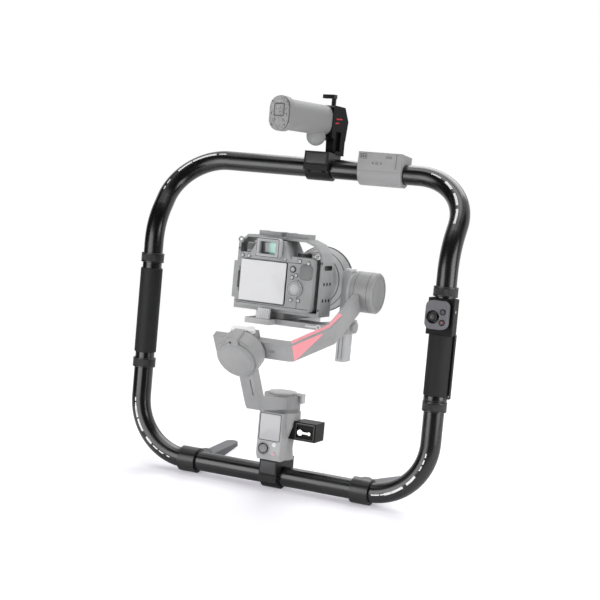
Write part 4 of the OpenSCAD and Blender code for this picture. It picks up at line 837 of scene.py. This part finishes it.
class RIG_OT_camera_back(bpy.types.Operator):
    """Screen panel, finder glass with its painted reflection and rim, wheel cap and studs, buttons and seams
    on the camera's back
    """

    bl_idname = "rig.camera_back"
    bl_label = "Camera back"

    def finder(self):
        low, high, eye = span_mm("eyecup", RING)
        window = high.y - 3
        # The finder glass is painted with a reflection
        flat_trim(
            "finder_glass", (eye.x - 12.7, window - 1.2, eye.z - 8.7),
            (eye.x + 12.7, window - MID_SEAT, eye.z + 8.7), 2, [(1.2, 0.4)],
            "camera", "finder_reflection", "display", smooth=20,
        )
        frame_trim(
            "finder_rim", (eye.x - 14.8, low.y - 0.5, eye.z - 10.8),
            (eye.x + 14.8, low.y + 0.2, eye.z + 10.8), 2.0, 1.5, "camera", "camera_smooth", "camera_grey",
            edge=0.15,
        )
        frame_trim(
            "cup_seam", (eye.x - 18.2, low.y - 0.12, eye.z - 13.6),
            (eye.x + 18.2, low.y + DEEP_SEAT, eye.z + 13.6), 1.4, 1.0,
            "camera", "camera_dark", "camera_grey", edge=0.05,
        )

    def wheel(self):
        low, _, middle = span_mm("rear_wheel", RING)
        round_trim(
            "wheel_cap", (middle.x, low.y + 1, middle.z), 7.0, 0.9, [(1.0, 0.25), (1.6, -0.35), (0.4, 0.5)],
            "rear_wheel", "camera_button", "pale_light", sides=56, edge=0.12,
        )
        count, reach = 24, 10.2
        turns = [2 * pi * index / count for index in range(count)]
        places = [
            (middle.x + reach * cos(turn), low.y + MID_SEAT, middle.z + reach * sin(turn)) for turn in turns
        ]
        round_row(
            "wheel_stud", places, 0.75, 0.45, [(0.3, 0.08)],
            "rear_wheel", "camera_dark", "camera_grey", sides=10,
        )

    def execute(self, context):
        low, high, _ = span_mm("camera_screen", RING)
        flat_trim(
            "screen_panel", (high.x - 73.6, low.y - 0.35, low.z + 0.5),
            (high.x - 0.5, low.y + 0.3, high.z - 0.5), 1.2, [(0.35, 0.1)],
            "camera_screen", "screen_pale", "display",
        )
        self.finder()
        self.wheel()
        back = span_mm("camera_body", RING)[0].y + 2
        for name, u, v, radius in (
            ("menu_button", -49, 330.8, 2.3), ("info_button", -38.5, 330.8, 2.3),
            ("zoom_button", 19.8, 331, 2.0), ("lock_button", 43.5, 330.6, 2.5),
            ("star_button", 57.5, 328.6, 2.5), ("quick_button", 33.1, 306.2, 2.4),
            ("set_button", 39.6, 309.8, 2.2), ("play_button", 33.9, 273.4, 2.4),
            ("erase_button", 46.1, 273.7, 2.4),
        ):
            round_trim(
                name + "_ring", (u, back + DEEP_SEAT, v), radius + 0.9, 0.4, [(0.5, 0.15)],
                "camera", "camera_dark", "camera_grey", edge=0.12,
            )
            round_trim(
                name, (u, back - 0.2, v), radius, 1.0, [(radius * 0.3, 0.2)],
                "camera", "camera_button", "pale_light", edge=0.2,
            )
        stick_u, stick_v = 33.8, 318
        round_trim(
            "focus_stick_well", (stick_u, back + DEEP_SEAT, stick_v), 5.2, 0.5, [(0.8, 0.3), (0.6, -0.5)],
            "camera", "camera_dark", "camera_grey", sides=48, edge=0.12,
        )
        round_trim(
            "focus_stick_cap", (stick_u, back - 0.4, stick_v), 3.2, 1.6, [(0.7, 0.3), (0.7, -0.3)],
            "camera", "camera_smooth", "camera_grey", sides=48, edge=0.2,
        )
        for name, left, base, right, top in (
            ("grip_seam", 43.2, 262, 44, 303), ("base_seam", -54, 261.4, 62, 262.2),
            ("top_seam", 26, 326.6, 62, 327.4),
        ):
            flat_trim(
                name, (left, back - 0.06, base), (right, back + DEEP_SEAT, top), 0, [(0.15, -0.04)],
                "camera", "camera_dark", "camera_grey",
            )
        flat_trim(
            "thumb_rest", (45, back - 1.8, 304), (65, back + 0.4, 326), 6, [(2.4, 0.8)],
            "camera", "camera_mid", "camera_grey", edge=0.5,
        )
        return {"FINISHED"}


class RIG_OT_camera_trim(bpy.types.Operator):
    """Ribs, dials, front glass with its painted sheen and hood bands of the camera, and the cage's holes as
    plates of painted shade, its screws and lugs
    """

    bl_idname = "rig.camera_trim"
    bl_label = "Camera trim"

    def ribs(self, name, middle, radius, height, count, rib, way, body, finish):
        """A ribbed sleeve: every other face of a short tube pushed outwards."""
        slant, wall = 0.08 * MM, 0.5 * MM
        piece = begin(
            name, bpy.ops.mesh.primitive_cylinder_add, vertices=2 * count, radius=radius * MM,
            depth=height * MM, location=Vector(middle) * MM,
            rotation=Vector(way).to_track_quat("Z", "Y").to_euler(), end_fill_type="NOTHING",
        )
        close_mesh()
        shape = bmesh.from_edit_mesh(piece.data)
        bpy.ops.mesh.select_mode(type="FACE")
        bpy.ops.mesh.select_all(action="DESELECT")
        for index, face in enumerate(shape.faces):
            face.select_set(index % 2 == 0)
        shape.select_flush_mode()
        bmesh.update_edit_mesh(piece.data)
        bpy.ops.mesh.inset(thickness=slant, depth=rib * MM, use_individual=True)
        apply_modifier(piece, "SOLIDIFY", thickness=wall, offset=-1.0)
        settle(piece, RING, body, finish, "camera_grey", smooth=25, closed=True)

    def lens_and_dials(self):
        low, high, middle = span_mm("focus_ring", RING)
        radius = (high.x - low.x) / 2
        self.ribs(
            "focus_ribs", middle, radius + 0.3, high.y - low.y - 3, 90, 0.7, TO_FRONT, "focus_ring",
            "camera_dark",
        )
        low, high, middle = span_mm("mode_dial", RING)
        radius = (high.x - low.x) / 2
        self.ribs(
            "dial_ribs", (middle.x, middle.y, high.z - 3.2), radius + 0.1, 4.6, 40, 0.5, UPWARD,
            "mode_dial", "camera_dark",
        )
        round_trim(
            "dial_face", (middle.x, middle.y, high.z - MID_SEAT), radius - 1.2, 0.35, [(1.2, 0.1)],
            "mode_dial", "camera_button", "pale_light", way=UPWARD, sides=56, edge=0.1,
        )

        _, high, middle = span_mm("lens_barrel", RING)
        hood_length, glass_depth = 42, 14
        glass = high.y - hood_length - glass_depth
        # The front glass is painted with its coating's sheen
        round_trim(
            "front_glass", (middle.x, glass + MID_SEAT, middle.z), 32.6, 1.6,
            [(3, 0.9), (5, 1.1), (6, 0.9), (7, 0.6), (6, 0.25)], "camera", "lens_coating_sheen", "display",
            way=TO_FRONT, sides=96, smooth=60,
        )
        hoop_trim("front_ring", (middle.x, glass + 2.2, middle.z), 32, 0.9, 96, "camera_dark", "camera_grey")
        bands = ((37, 42.3, 0.8), (22, 46.2, 0.7), (3, 51.2, 1.1))
        for index, (behind, radius, thickness) in enumerate(bands):
            place = (middle.x, high.y - behind, middle.z)
            hoop_trim(f"hood_band_{index}", place, radius, thickness, 128, "camera_dark", "camera_grey")
        shoulder = (-45, -46)
        round_trim(
            "shoulder_dial", (*shoulder, 335.9), 9.6, 14, [(1.4, 0.9), (1.0, -0.4)],
            "camera", "camera_smooth", "camera_grey", way=UPWARD, sides=64, edge=0.3,
        )
        self.ribs("shoulder_ribs", (*shoulder, 344), 9.7, 9, 40, 0.4, UPWARD, "camera", "camera_mid")

    def execute(self, context):
        self.lens_and_dials()
        low, high, middle = span_mm("camera_cage", RING)
        # Thin near-black plates on the cage's right face stand in for the shade inside its holes and slot
        places = [
            (high.x - SEAT, middle.y + 11 * (column - 1), low.z + 24 + 24 * row)
            for row in range(2) for column in range(3)
        ]
        round_row(
            "cage_hole", places, 2.6, 0.14, [(0.7, -0.08)],
            "camera", "pocket_dark", "cage_grey", way=TO_RIGHT,
        )
        flat_trim(
            "cage_slot", (high.x - SEAT, low.y + 6, low.z + 68), (high.x + 0.12, high.y - 6, low.z + 75),
            3.2, [(0.8, -0.08)], "camera", "pocket_dark", "cage_grey", way=TO_RIGHT,
        )
        places = [
            (u, low.y + SEAT, v)
            for u, v in ((low.x + 8, 262), (low.x + 8, 340), (high.x - 2, 262), (high.x - 2, 330))
        ]
        round_row(
            "cage_screw", places, 1.5, 0.4, [(0.45, 0), (0.1, -0.3)], "camera", "screw_steel", "dark_steel",
            sides=28, edge=0.08,
        )
        lug_at = (high.x - 9, low.y - 1.2, high.z - 30)
        hoop_trim("grip_strap_lug", lug_at, 3.4, 1.0, 40, "bright_steel", "steel")
        hoop_trim("strap_lug", (-58, -63, 353), 3.6, 1.25, 40, "cage_coat", "cage_grey")
        return {"FINISHED"}


class RIG_OT_gimbal_trim(bpy.types.Operator):
    """Patches, slots, caps and bands on the gimbal's arms, and panels, frames and keys on its handle"""

    bl_idname = "rig.gimbal_trim"
    bl_label = "Gimbal trim"

    def arm_prints(self, lift):
        start, end = Vector((73, 33, 0)), Vector((114, 85, 0))
        run = (end - start).normalized()
        face = ROLL @ axes(start * MM, run, Vector(UPWARD).cross(run), UPWARD)
        piece = block("arm_flash", (1.2, -lift, -13.4), (50, SEAT, 12.2))
        bpy.ops.mesh.select_all(action="SELECT")
        bpy.ops.mesh.bisect(
            plane_co=Vector((3.2, 0, -13.4)) * MM, plane_no=Vector((22.6, 0, -46.8)).normalized(),
            clear_outer=True, use_fill=True,
        )
        settle(piece, face, "roll_arm", "print_pink", "pale_grey")
        points = [(72.6, 36.5), (109.4, 85.3), (116.4, 118.5), (109.2, 121), (105.6, 91), (68.8, 42.9)]
        piece = outline_plate("arm_stripe", points, lift)
        top = span_mm("roll_arm", ROLL)[1].z
        settle(
            piece, ROLL @ Matrix.Translation((0, 0, (top - SEAT) * MM)),
            "roll_arm", "print_pink", "pale_grey",
        )

    def arms(self):
        for name, left, right in (("bar_slot_left", -42, -29), ("bar_slot_right", 36, 47)):
            flat_trim(
                name, (left, 30.85, -2.2), (right, 31.02, 2.2), 2.1, [(0.4, -0.05)],
                "roll_arm", "gimbal_dark", "pale_grey", ROLL,
            )
        flat_trim(
            "roll_boss", (-8, -0.5, 25), (8, 27, 36), 2, [], "pan", "gimbal_grey", "pale_grey", ROLL,
            edge=1.0,
        )
        round_trim(
            "roll_boss_screw", (-3, -0.48, 31), 2.1, 0.4, [(0.5, -0.3)], "pan", "camera_dark", "dark_steel",
            ROLL, edge=0.1,
        )
        round_trim(
            "roll_cap_plate", (0, 0.03, 0), 24.5, 0.35, [(1.2, 0.12)], "pan", "gimbal_grey", "pale_grey",
            ROLL, sides=96, edge=0.1,
        )
        near = span_mm("pan_arm", ROLL)[0].y
        flat_trim(
            "pan_arm_groove", (12.4, near - 0.08, -64), (14.4, near + SEAT, -36), 0.9, [(0.3, -0.05)],
            "pan", "gimbal_dark", "pale_grey", ROLL,
        )
        low, high, middle = span_mm("tilt_motor", RING)
        round_trim(
            "tilt_cap_plate", (high.x - 0.63, middle.y, middle.z), 22, 0.4, [(1.4, 0.12)],
            "roll_arm", "gimbal_grey", "pale_grey", way=TO_RIGHT, sides=96, edge=0.1,
        )
        places = [(low.x + along_motor, middle.y, middle.z) for along_motor in (7, 27)]
        round_row(
            "tilt_band", places, (high.y - low.y) / 2 + 0.1, 0.9, [(1.0, -0.2)],
            "roll_arm", "gimbal_seam", "pale_grey", way=TO_RIGHT, sides=128, edge=0.08,
        )
        low = span_mm("tilt_post", RING)[0]
        flat_trim(
            "post_groove_0", (low.x + 3.5, -7.1, low.z + 4), (low.x + 4.5, -6.97, low.z + 38), 0.45,
            [(0.15, -0.05)], "tilt", "gimbal_seam", "pale_grey",
            copies=others("post_groove", [(0, 0, 0), (5.5, 0, 0)]),
        )

    def handle(self):
        middle = span_mm("handle_stick", RING)[2]
        face = span_mm("gimbal_handle", RING)[0].y
        ring_trim(
            "handle_stick_ring", (middle.x, face + SEAT, middle.z), 10.4, 8.4, 0.5,
            "ring", "gimbal_grey", "pale_grey", sides=64, edge=0.15,
        )
        low, high, _ = span_mm("side_bracket", RING)
        frame_trim(
            "side_bracket_frame", (high.x - 33, low.y - 0.5, low.z + 1.5),
            (high.x - 1.5, low.y + DEEP_SEAT, high.z - 1.5), 2.4, 1.8,
            "ring", "machined_black", "black_metal", edge=0.2,
        )
        low, high, _ = span_mm("base_clamp_block", RING)
        flat_trim(
            "base_clamp_panel", (low.x + 2, low.y - 0.5, low.z + 2.5),
            (high.x - 2, low.y + DEEP_SEAT, high.z - 2.5), 1.5, [(0.8, 0.1)],
            "ring", "clamp_panel", "black_metal", edge=0.15,
        )
        low, high, _ = span_mm("handle_display", RING)
        flat_trim(
            "display_panel", (low.x + 1.6, low.y - 0.25, low.z + 1.6),
            (high.x - 1.6, low.y + MID_SEAT, high.z - 1.6), 2.2, [(0.3, 0.04)],
            "ring", "display_pale", "display",
        )
        frame_trim(
            "display_frame", (low.x + 0.2, low.y - 0.2, low.z + 0.2),
            (high.x - 0.2, low.y + MID_SEAT, high.z - 0.2), 2.8, 1.2, "ring", "gimbal_seam", "pale_grey",
            edge=0.05,
        )
        low, _, middle = span_mm("handle_record_button", RING)
        round_trim(
            "handle_record_dot", (middle.x, low.y + SEAT, middle.z), 1.7, 0.16, [(0.4, 0.05)],
            "handle_record_button", "print_pink", "record_white",
        )
        round_trim(
            "handle_side_wheel", (-19.2, -16, 64), 6, 3, [(1.2, 0.5)], "ring", "gimbal_light", "pale_light",
            way=TO_LEFT, sides=48, edge=0.4,
        )
        round_trim(
            "side_key_high", (19.4, -16, 78), 2.6, 0.8, [(0.7, 0.15)], "ring", "gimbal_light", "pale_light",
            way=TO_RIGHT, edge=0.15, copies=[("side_key_low", Vector((0, 0, -20)))],
        )

    def execute(self, context):
        self.arm_prints(context.scene.rig_sizes.print_lift / MM)
        self.arms()
        self.handle()
        return {"FINISHED"}


class RIG_OT_plate_trim(bpy.types.Operator):
    """Printed line and ring on the camera plate, and ribs on its latch"""

    bl_idname = "rig.plate_trim"
    bl_label = "Plate trim"

    def execute(self, context):
        lift = context.scene.rig_sizes.print_lift / MM
        face = -62.0
        flat_trim(
            "plate_line", (56, face - lift, 236.8), (73.2, face + SEAT, 239.2), 0.7, [],
            "base_plate", "print_white", "white_cap", corner_rounds=4,
        )
        ring_trim(
            "plate_ring", (76.9, face + SEAT, 238), 3.9, 2.2, lift, "base_plate", "print_white", "white_cap"
        )
        low, high, _ = span_mm("plate_latch", RING)
        left = low.x + 6.5
        flat_trim(
            "latch_rib_0", (left, low.y - 0.1, low.z + 6), (left + 2, low.y + 0.7, high.z - 1.5), 0, [],
            "plate_latch", "latch_pale", "pale_light", edge=0.25,
            copies=others("latch_rib", [(3.6 * index, 0, 0) for index in range(4)]),
        )
        return {"FINISHED"}


class RIG_OT_top_trim(bpy.types.Operator):
    """Dashes and panel at the adapter, the battery grip's cap and the module box's port and window"""

    bl_idname = "rig.top_trim"
    bl_label = "Top trim"

    def adapter(self, lift):
        adapter_side = 19
        side = axes(Vector(((adapter_side - SEAT) * MM, 0, 0)), TO_FRONT, UPWARD, TO_RIGHT)
        for name, points in (
            ("adapter_dash_high", [(2, 75.3), (16.5, 75.8), (17.4, 77.9), (3, 77.5)]),
            ("adapter_dash_low", [(0, 68.9), (9.4, 69.4), (10.4, 71.5), (1, 71)]),
        ):
            settle(outline_plate(name, points, lift), GRIP @ side, "ring", "print_red", "black_plastic")
        low, high, _ = span_mm("top_clamp_block", TOP)
        flat_trim(
            "top_clamp_panel", (low.x + 3, low.y - 0.5, low.z + 2),
            (high.x - 3, low.y + DEEP_SEAT, high.z - 2.5), 1.5, [(0.8, 0.1)],
            "ring", "clamp_panel", "black_metal", TOP, edge=0.15,
        )

    def grip_cap(self):
        low, high, _ = span_mm("battery_grip", GRIP)
        front, seat = low.y, low.y + DEEP_SEAT
        flat_trim(
            "cap_face", (low.x + 0.6, front - 0.12, 47.6), (high.x - 0.6, front + MID_SEAT, high.z - 0.6),
            17, [(1.2, -0.05)], "ring", "cap_speckle", "grip_grey", GRIP, corner_rounds=12,
        )
        frame_trim(
            "cap_window_frame", (-9.8, front - 0.5, 68.2), (9.8, seat, 87.8), 2.6, 1.7,
            "ring", "gimbal_seam", "grip_grey", GRIP, edge=0.15,
        )
        screws = ((-13.5, 90), (13.5, 90), (-14, 72), (14, 72), (-12, 56), (12, 56))
        places = [(u, seat, v) for u, v in screws]
        round_row(
            "cap_screw", places, 1.3, 0.35, [(0.4, -0.15)], "ring", "gimbal_seam", "dark_steel", GRIP,
            sides=28, edge=0.06,
        )
        flat_trim(
            "cap_window", (-8, front - 0.3, 70), (8, seat, 86), 3, [(0.8, -0.15)],
            "ring", "cap_speckle", "grip_grey", GRIP,
        )
        for name, u, v, radius, finish in (
            ("cap_key", -0.6, 60.5, 4.6, "cap_speckle"), ("cap_key_left", -9.3, 63, 2.4, "grip_grey"),
            ("cap_key_right", 8.6, 63, 2.4, "grip_grey"),
        ):
            round_trim(
                name, (u, seat, v), radius, 0.9, [(radius * 0.22, 0.15), (radius * 0.14, -0.45)],
                "ring", finish, "grip_grey", GRIP, sides=48, edge=0.15,
            )
        places = [(-4.5 + 3 * index, seat, 90.5) for index in range(4)]
        round_row(
            "cap_lamp", places, 0.8, 0.35, [(0.25, 0.06)], "ring", "cap_white", "white_cap", GRIP, sides=20
        )

    def module(self):
        low, high, _ = span_mm("module_box", TOP)
        front, seat = low.y, low.y + MID_SEAT
        frame_trim(
            "module_port", (low.x + 2.5, front - 0.2, high.z - 10.5), (low.x + 14, seat, high.z - 2.5), 1.2,
            0.8, "ring", "gimbal_seam", "grip_grey", TOP, edge=0.05,
        )
        left = low.x + 4.6
        flat_trim(
            "module_pin_0", (left, front - 0.2, high.z - 8.5), (left + 1.5, seat, high.z - 4.5), 0,
            [(0.25, -0.08)], "ring", "gimbal_seam", "grip_grey", TOP,
            copies=others("module_pin", [(2.8 * index, 0, 0) for index in range(3)]),
        )
        flat_trim(
            "module_seam", (high.x - 9, front - 0.1, high.z - 24), (high.x - 8.2, seat, high.z - 2), 0,
            [(0.15, -0.04)], "ring", "gimbal_seam", "grip_grey", TOP,
        )
        flat_trim(
            "module_window", (low.x + 44, front - 0.15, 19.6), (low.x + 54, seat, 24), 1.2, [(0.4, -0.06)],
            "ring", "gimbal_dark", "grip_grey", TOP,
        )

    def execute(self, context):
        self.adapter(context.scene.rig_sizes.print_lift / MM)
        self.grip_cap()
        self.module()
        return {"FINISHED"}


# Place, target, width and height in metres, and the lamps' power in watts
LAMPS = (
    ("left_box", (-0.36, -0.82, 0.42), (0, 0, 0.33), 0.8, 0.7, 6.0),
    ("right_box", (0.8, -0.08, 0.36), (0, 0, 0.33), 0.42, 0.6, 3.6),
    ("back_box", (0, 1.5, 1.75), (0, 0, 0.5), 2.0, 1.6, 40.0),
    ("top_box", (0, 0.1, 2.2), (0, 0, 0.3), 1.6, 0.8, 11.0),
)
FLAGS = (
    ("front_flag", (1.2, -2.9, 1.2), (0, 0, 0.35), 5.0, 3.6),
    ("left_flag", (-2.7, -0.6, 1.2), (0, 0, 0.35), 3.6, 3.6),
    ("right_flag", (2.9, -0.2, 1.2), (0, 0, 0.35), 3.6, 3.6),
    ("top_flag", (0.2, -1.4, 2.9), (0, 0, 0.3), 5.0, 2.0),
)

# The photo's view
VIEW_AZIMUTH = radians(25.0)
VIEW_ELEVATION = radians(15.6)
VIEW_DISTANCE = 1.9487
VIEW_TARGET = Vector((0.0435, 0, 0.2996))
VIEW_LENS = 80.56
VIEW_SENSOR = 36.0

# The floor and where it fades out, in metres, and the strengths of its glow and of the white around it
FLOOR_RADIUS = 2.6
FLOOR_DROP = 0.4 * MM
FADE_FROM = 0.55
FADE_TO = 1.0
FLOOR_COLOUR = (0.86, 0.86, 0.87, 1)
GLOW_COLOUR = (0.93, 0.9, 1, 1)
GLOW_LEVEL = 0.3
SOFT_LEVEL = 0.14
WHITE_LEVEL = 1.0
WHITE = (1, 1, 1, 1)


class RIG_OT_stage(bpy.types.Operator):
    """Pale floor, plain studio lamps, white surroundings and the camera"""

    bl_idname = "rig.stage"
    bl_label = "Stage"

    def aim(self, place, target):
        return (Vector(target) - Vector(place)).to_track_quat("-Z", "Y").to_euler()

    def lamp(self, name, place, target, width, height, power):
        bpy.ops.object.light_add(type="AREA", location=place)
        lamp = bpy.context.object
        lamp.name = name
        lamp.data.shape = "RECTANGLE"
        lamp.data.size = width
        lamp.data.size_y = height
        lamp.data.energy = power
        lamp.rotation_euler = self.aim(place, target)
        lamp.visible_camera = False

    def flag(self, name, place, target, width, height):
        """A dark studio flag that only shows in gloss, so that black tubes keep their dark bands."""
        bpy.ops.object.select_all(action="DESELECT")
        bpy.ops.mesh.primitive_plane_add(size=1, location=place)
        flag = bpy.context.object
        flag.name = name
        flag.scale = (width, height, 1)
        flag.rotation_euler = self.aim(place, target)
        flag.data.materials.append(bpy.data.materials["pocket_dark"])
        flag.visible_camera = False
        flag.visible_diffuse = False
        flag.visible_transmission = False
        flag.visible_shadow = False

    def floor(self):
        """A pale floor that fades out, with a faint cool glow that only the camera sees."""
        bpy.ops.object.select_all(action="DESELECT")
        bpy.ops.mesh.primitive_circle_add(
            vertices=96, radius=FLOOR_RADIUS, fill_type="NGON", location=(0, 0, -FLOOR_DROP)
        )
        floor = bpy.context.object
        floor.name = "floor"
        paint = bpy.data.materials.new("floor_pale")
        paint.use_nodes = True
        tree = paint.node_tree
        tree.nodes.clear()
        out = add(tree, "ShaderNodeOutputMaterial")
        matt = add(tree, "ShaderNodeBsdfDiffuse", {"Color": FLOOR_COLOUR})
        glow = add(tree, "ShaderNodeEmission", {"Color": GLOW_COLOUR})
        rays = add(tree, "ShaderNodeLightPath")
        level = add(tree, "ShaderNodeMath", {1: GLOW_LEVEL}, operation="MULTIPLY")
        both = add(tree, "ShaderNodeAddShader")
        clear = add(tree, "ShaderNodeBsdfTransparent")
        fade = add(tree, "ShaderNodeMixShader")
        place = add(tree, "ShaderNodeTexCoord")
        reach = add(tree, "ShaderNodeVectorMath", operation="LENGTH")
        run = add(
            tree, "ShaderNodeMapRange", {"From Min": FADE_FROM, "From Max": FADE_TO},
            interpolation_type="SMOOTHSTEP",
        )
        wire(
            tree, (rays, "Is Camera Ray", level, 0), (level, 0, glow, "Strength"), (matt, 0, both, 0),
            (glow, 0, both, 1), (place, "Object", reach, 0), (reach, "Value", run, "Value"),
            (run, "Result", fade, 0), (both, 0, fade, 1), (clear, 0, fade, 2), (fade, 0, out, "Surface"),
        )
        floor.data.materials.append(paint)

    def surroundings(self, scene):
        """White where the camera or gloss looks, and soft for all other light."""
        world = bpy.data.worlds.new("studio")
        scene.world = world
        world.use_nodes = True
        tree = world.node_tree
        tree.nodes.clear()
        out = add(tree, "ShaderNodeOutputWorld")
        soft = add(tree, "ShaderNodeBackground", {"Color": WHITE, "Strength": SOFT_LEVEL})
        white = add(tree, "ShaderNodeBackground", {"Color": WHITE, "Strength": WHITE_LEVEL})
        rays = add(tree, "ShaderNodeLightPath")
        shiny = add(tree, "ShaderNodeMath", operation="MAXIMUM")
        seen = add(tree, "ShaderNodeMath", operation="MAXIMUM")
        mix = add(tree, "ShaderNodeMixShader")
        wire(
            tree, (rays, "Is Glossy Ray", shiny, 0), (rays, "Is Transmission Ray", shiny, 1),
            (rays, "Is Camera Ray", seen, 0), (shiny, 0, seen, 1), (seen, 0, mix, 0), (soft, 0, mix, 1),
            (white, 0, mix, 2), (mix, 0, out, "Surface"),
        )

    def execute(self, context):
        scene = context.scene
        if bpy.context.mode != "OBJECT":
            bpy.ops.object.mode_set(mode="OBJECT")
        self.floor()
        self.surroundings(scene)
        for *lamp, power in LAMPS:
            self.lamp(*lamp, power * scene.rig_sizes.lamp_level)
        for flag in FLAGS:
            self.flag(*flag)
        bpy.ops.object.camera_add()
        camera = bpy.context.object
        camera.name = "photo_camera"
        flat = cos(VIEW_ELEVATION)
        away = Vector((sin(VIEW_AZIMUTH) * flat, -cos(VIEW_AZIMUTH) * flat, sin(VIEW_ELEVATION)))
        camera.location = VIEW_TARGET + away * VIEW_DISTANCE
        camera.rotation_euler = away.to_track_quat("Z", "Y").to_euler()
        camera.data.lens = VIEW_LENS
        camera.data.sensor_width = VIEW_SENSOR
        camera.data.clip_start = 0.05
        camera.data.clip_end = 20
        scene.camera = camera
        scene.view_settings.view_transform = "Standard"
        return {"FINISHED"}


class RIG_PT_panel(bpy.types.Panel):
    """Lists the rig's steps, colours and sizes"""

    bl_idname = "RIG_PT_panel"
    bl_label = "Ring Rig"
    bl_space_type = "VIEW_3D"
    bl_region_type = "UI"
    bl_category = "Ring Rig"

    def draw(self, context):
        for operator in OPERATORS:
            self.layout.operator(operator.bl_idname)
        for group in (context.scene.rig_colours, context.scene.rig_sizes):
            for key in group.__annotations__:
                self.layout.prop(group, key)


OPERATORS = (
    RIG_OT_finishes, RIG_OT_lock_bands, RIG_OT_elbow_dashes, RIG_OT_control_trim, RIG_OT_camera_back,
    RIG_OT_camera_trim, RIG_OT_gimbal_trim, RIG_OT_plate_trim, RIG_OT_top_trim, RIG_OT_stage,
)
CLASSES = (RigColours, RigSizes, *OPERATORS, RIG_PT_panel)


def register():
    for made in CLASSES:
        bpy.utils.register_class(made)
    bpy.types.Scene.rig_colours = bpy.props.PointerProperty(type=RigColours)
    bpy.types.Scene.rig_sizes = bpy.props.PointerProperty(type=RigSizes)


def unregister():
    del bpy.types.Scene.rig_sizes
    del bpy.types.Scene.rig_colours
    for made in reversed(CLASSES):
        bpy.utils.unregister_class(made)


def main():
    register()
    bpy.ops.rig.finishes()
    bpy.ops.rig.lock_bands()
    bpy.ops.rig.elbow_dashes()
    bpy.ops.rig.control_trim()
    bpy.ops.rig.camera_back()
    bpy.ops.rig.camera_trim()
    bpy.ops.rig.gimbal_trim()
    bpy.ops.rig.plate_trim()
    bpy.ops.rig.top_trim()
    bpy.ops.rig.stage()


if __name__ == "__main__":
    main()
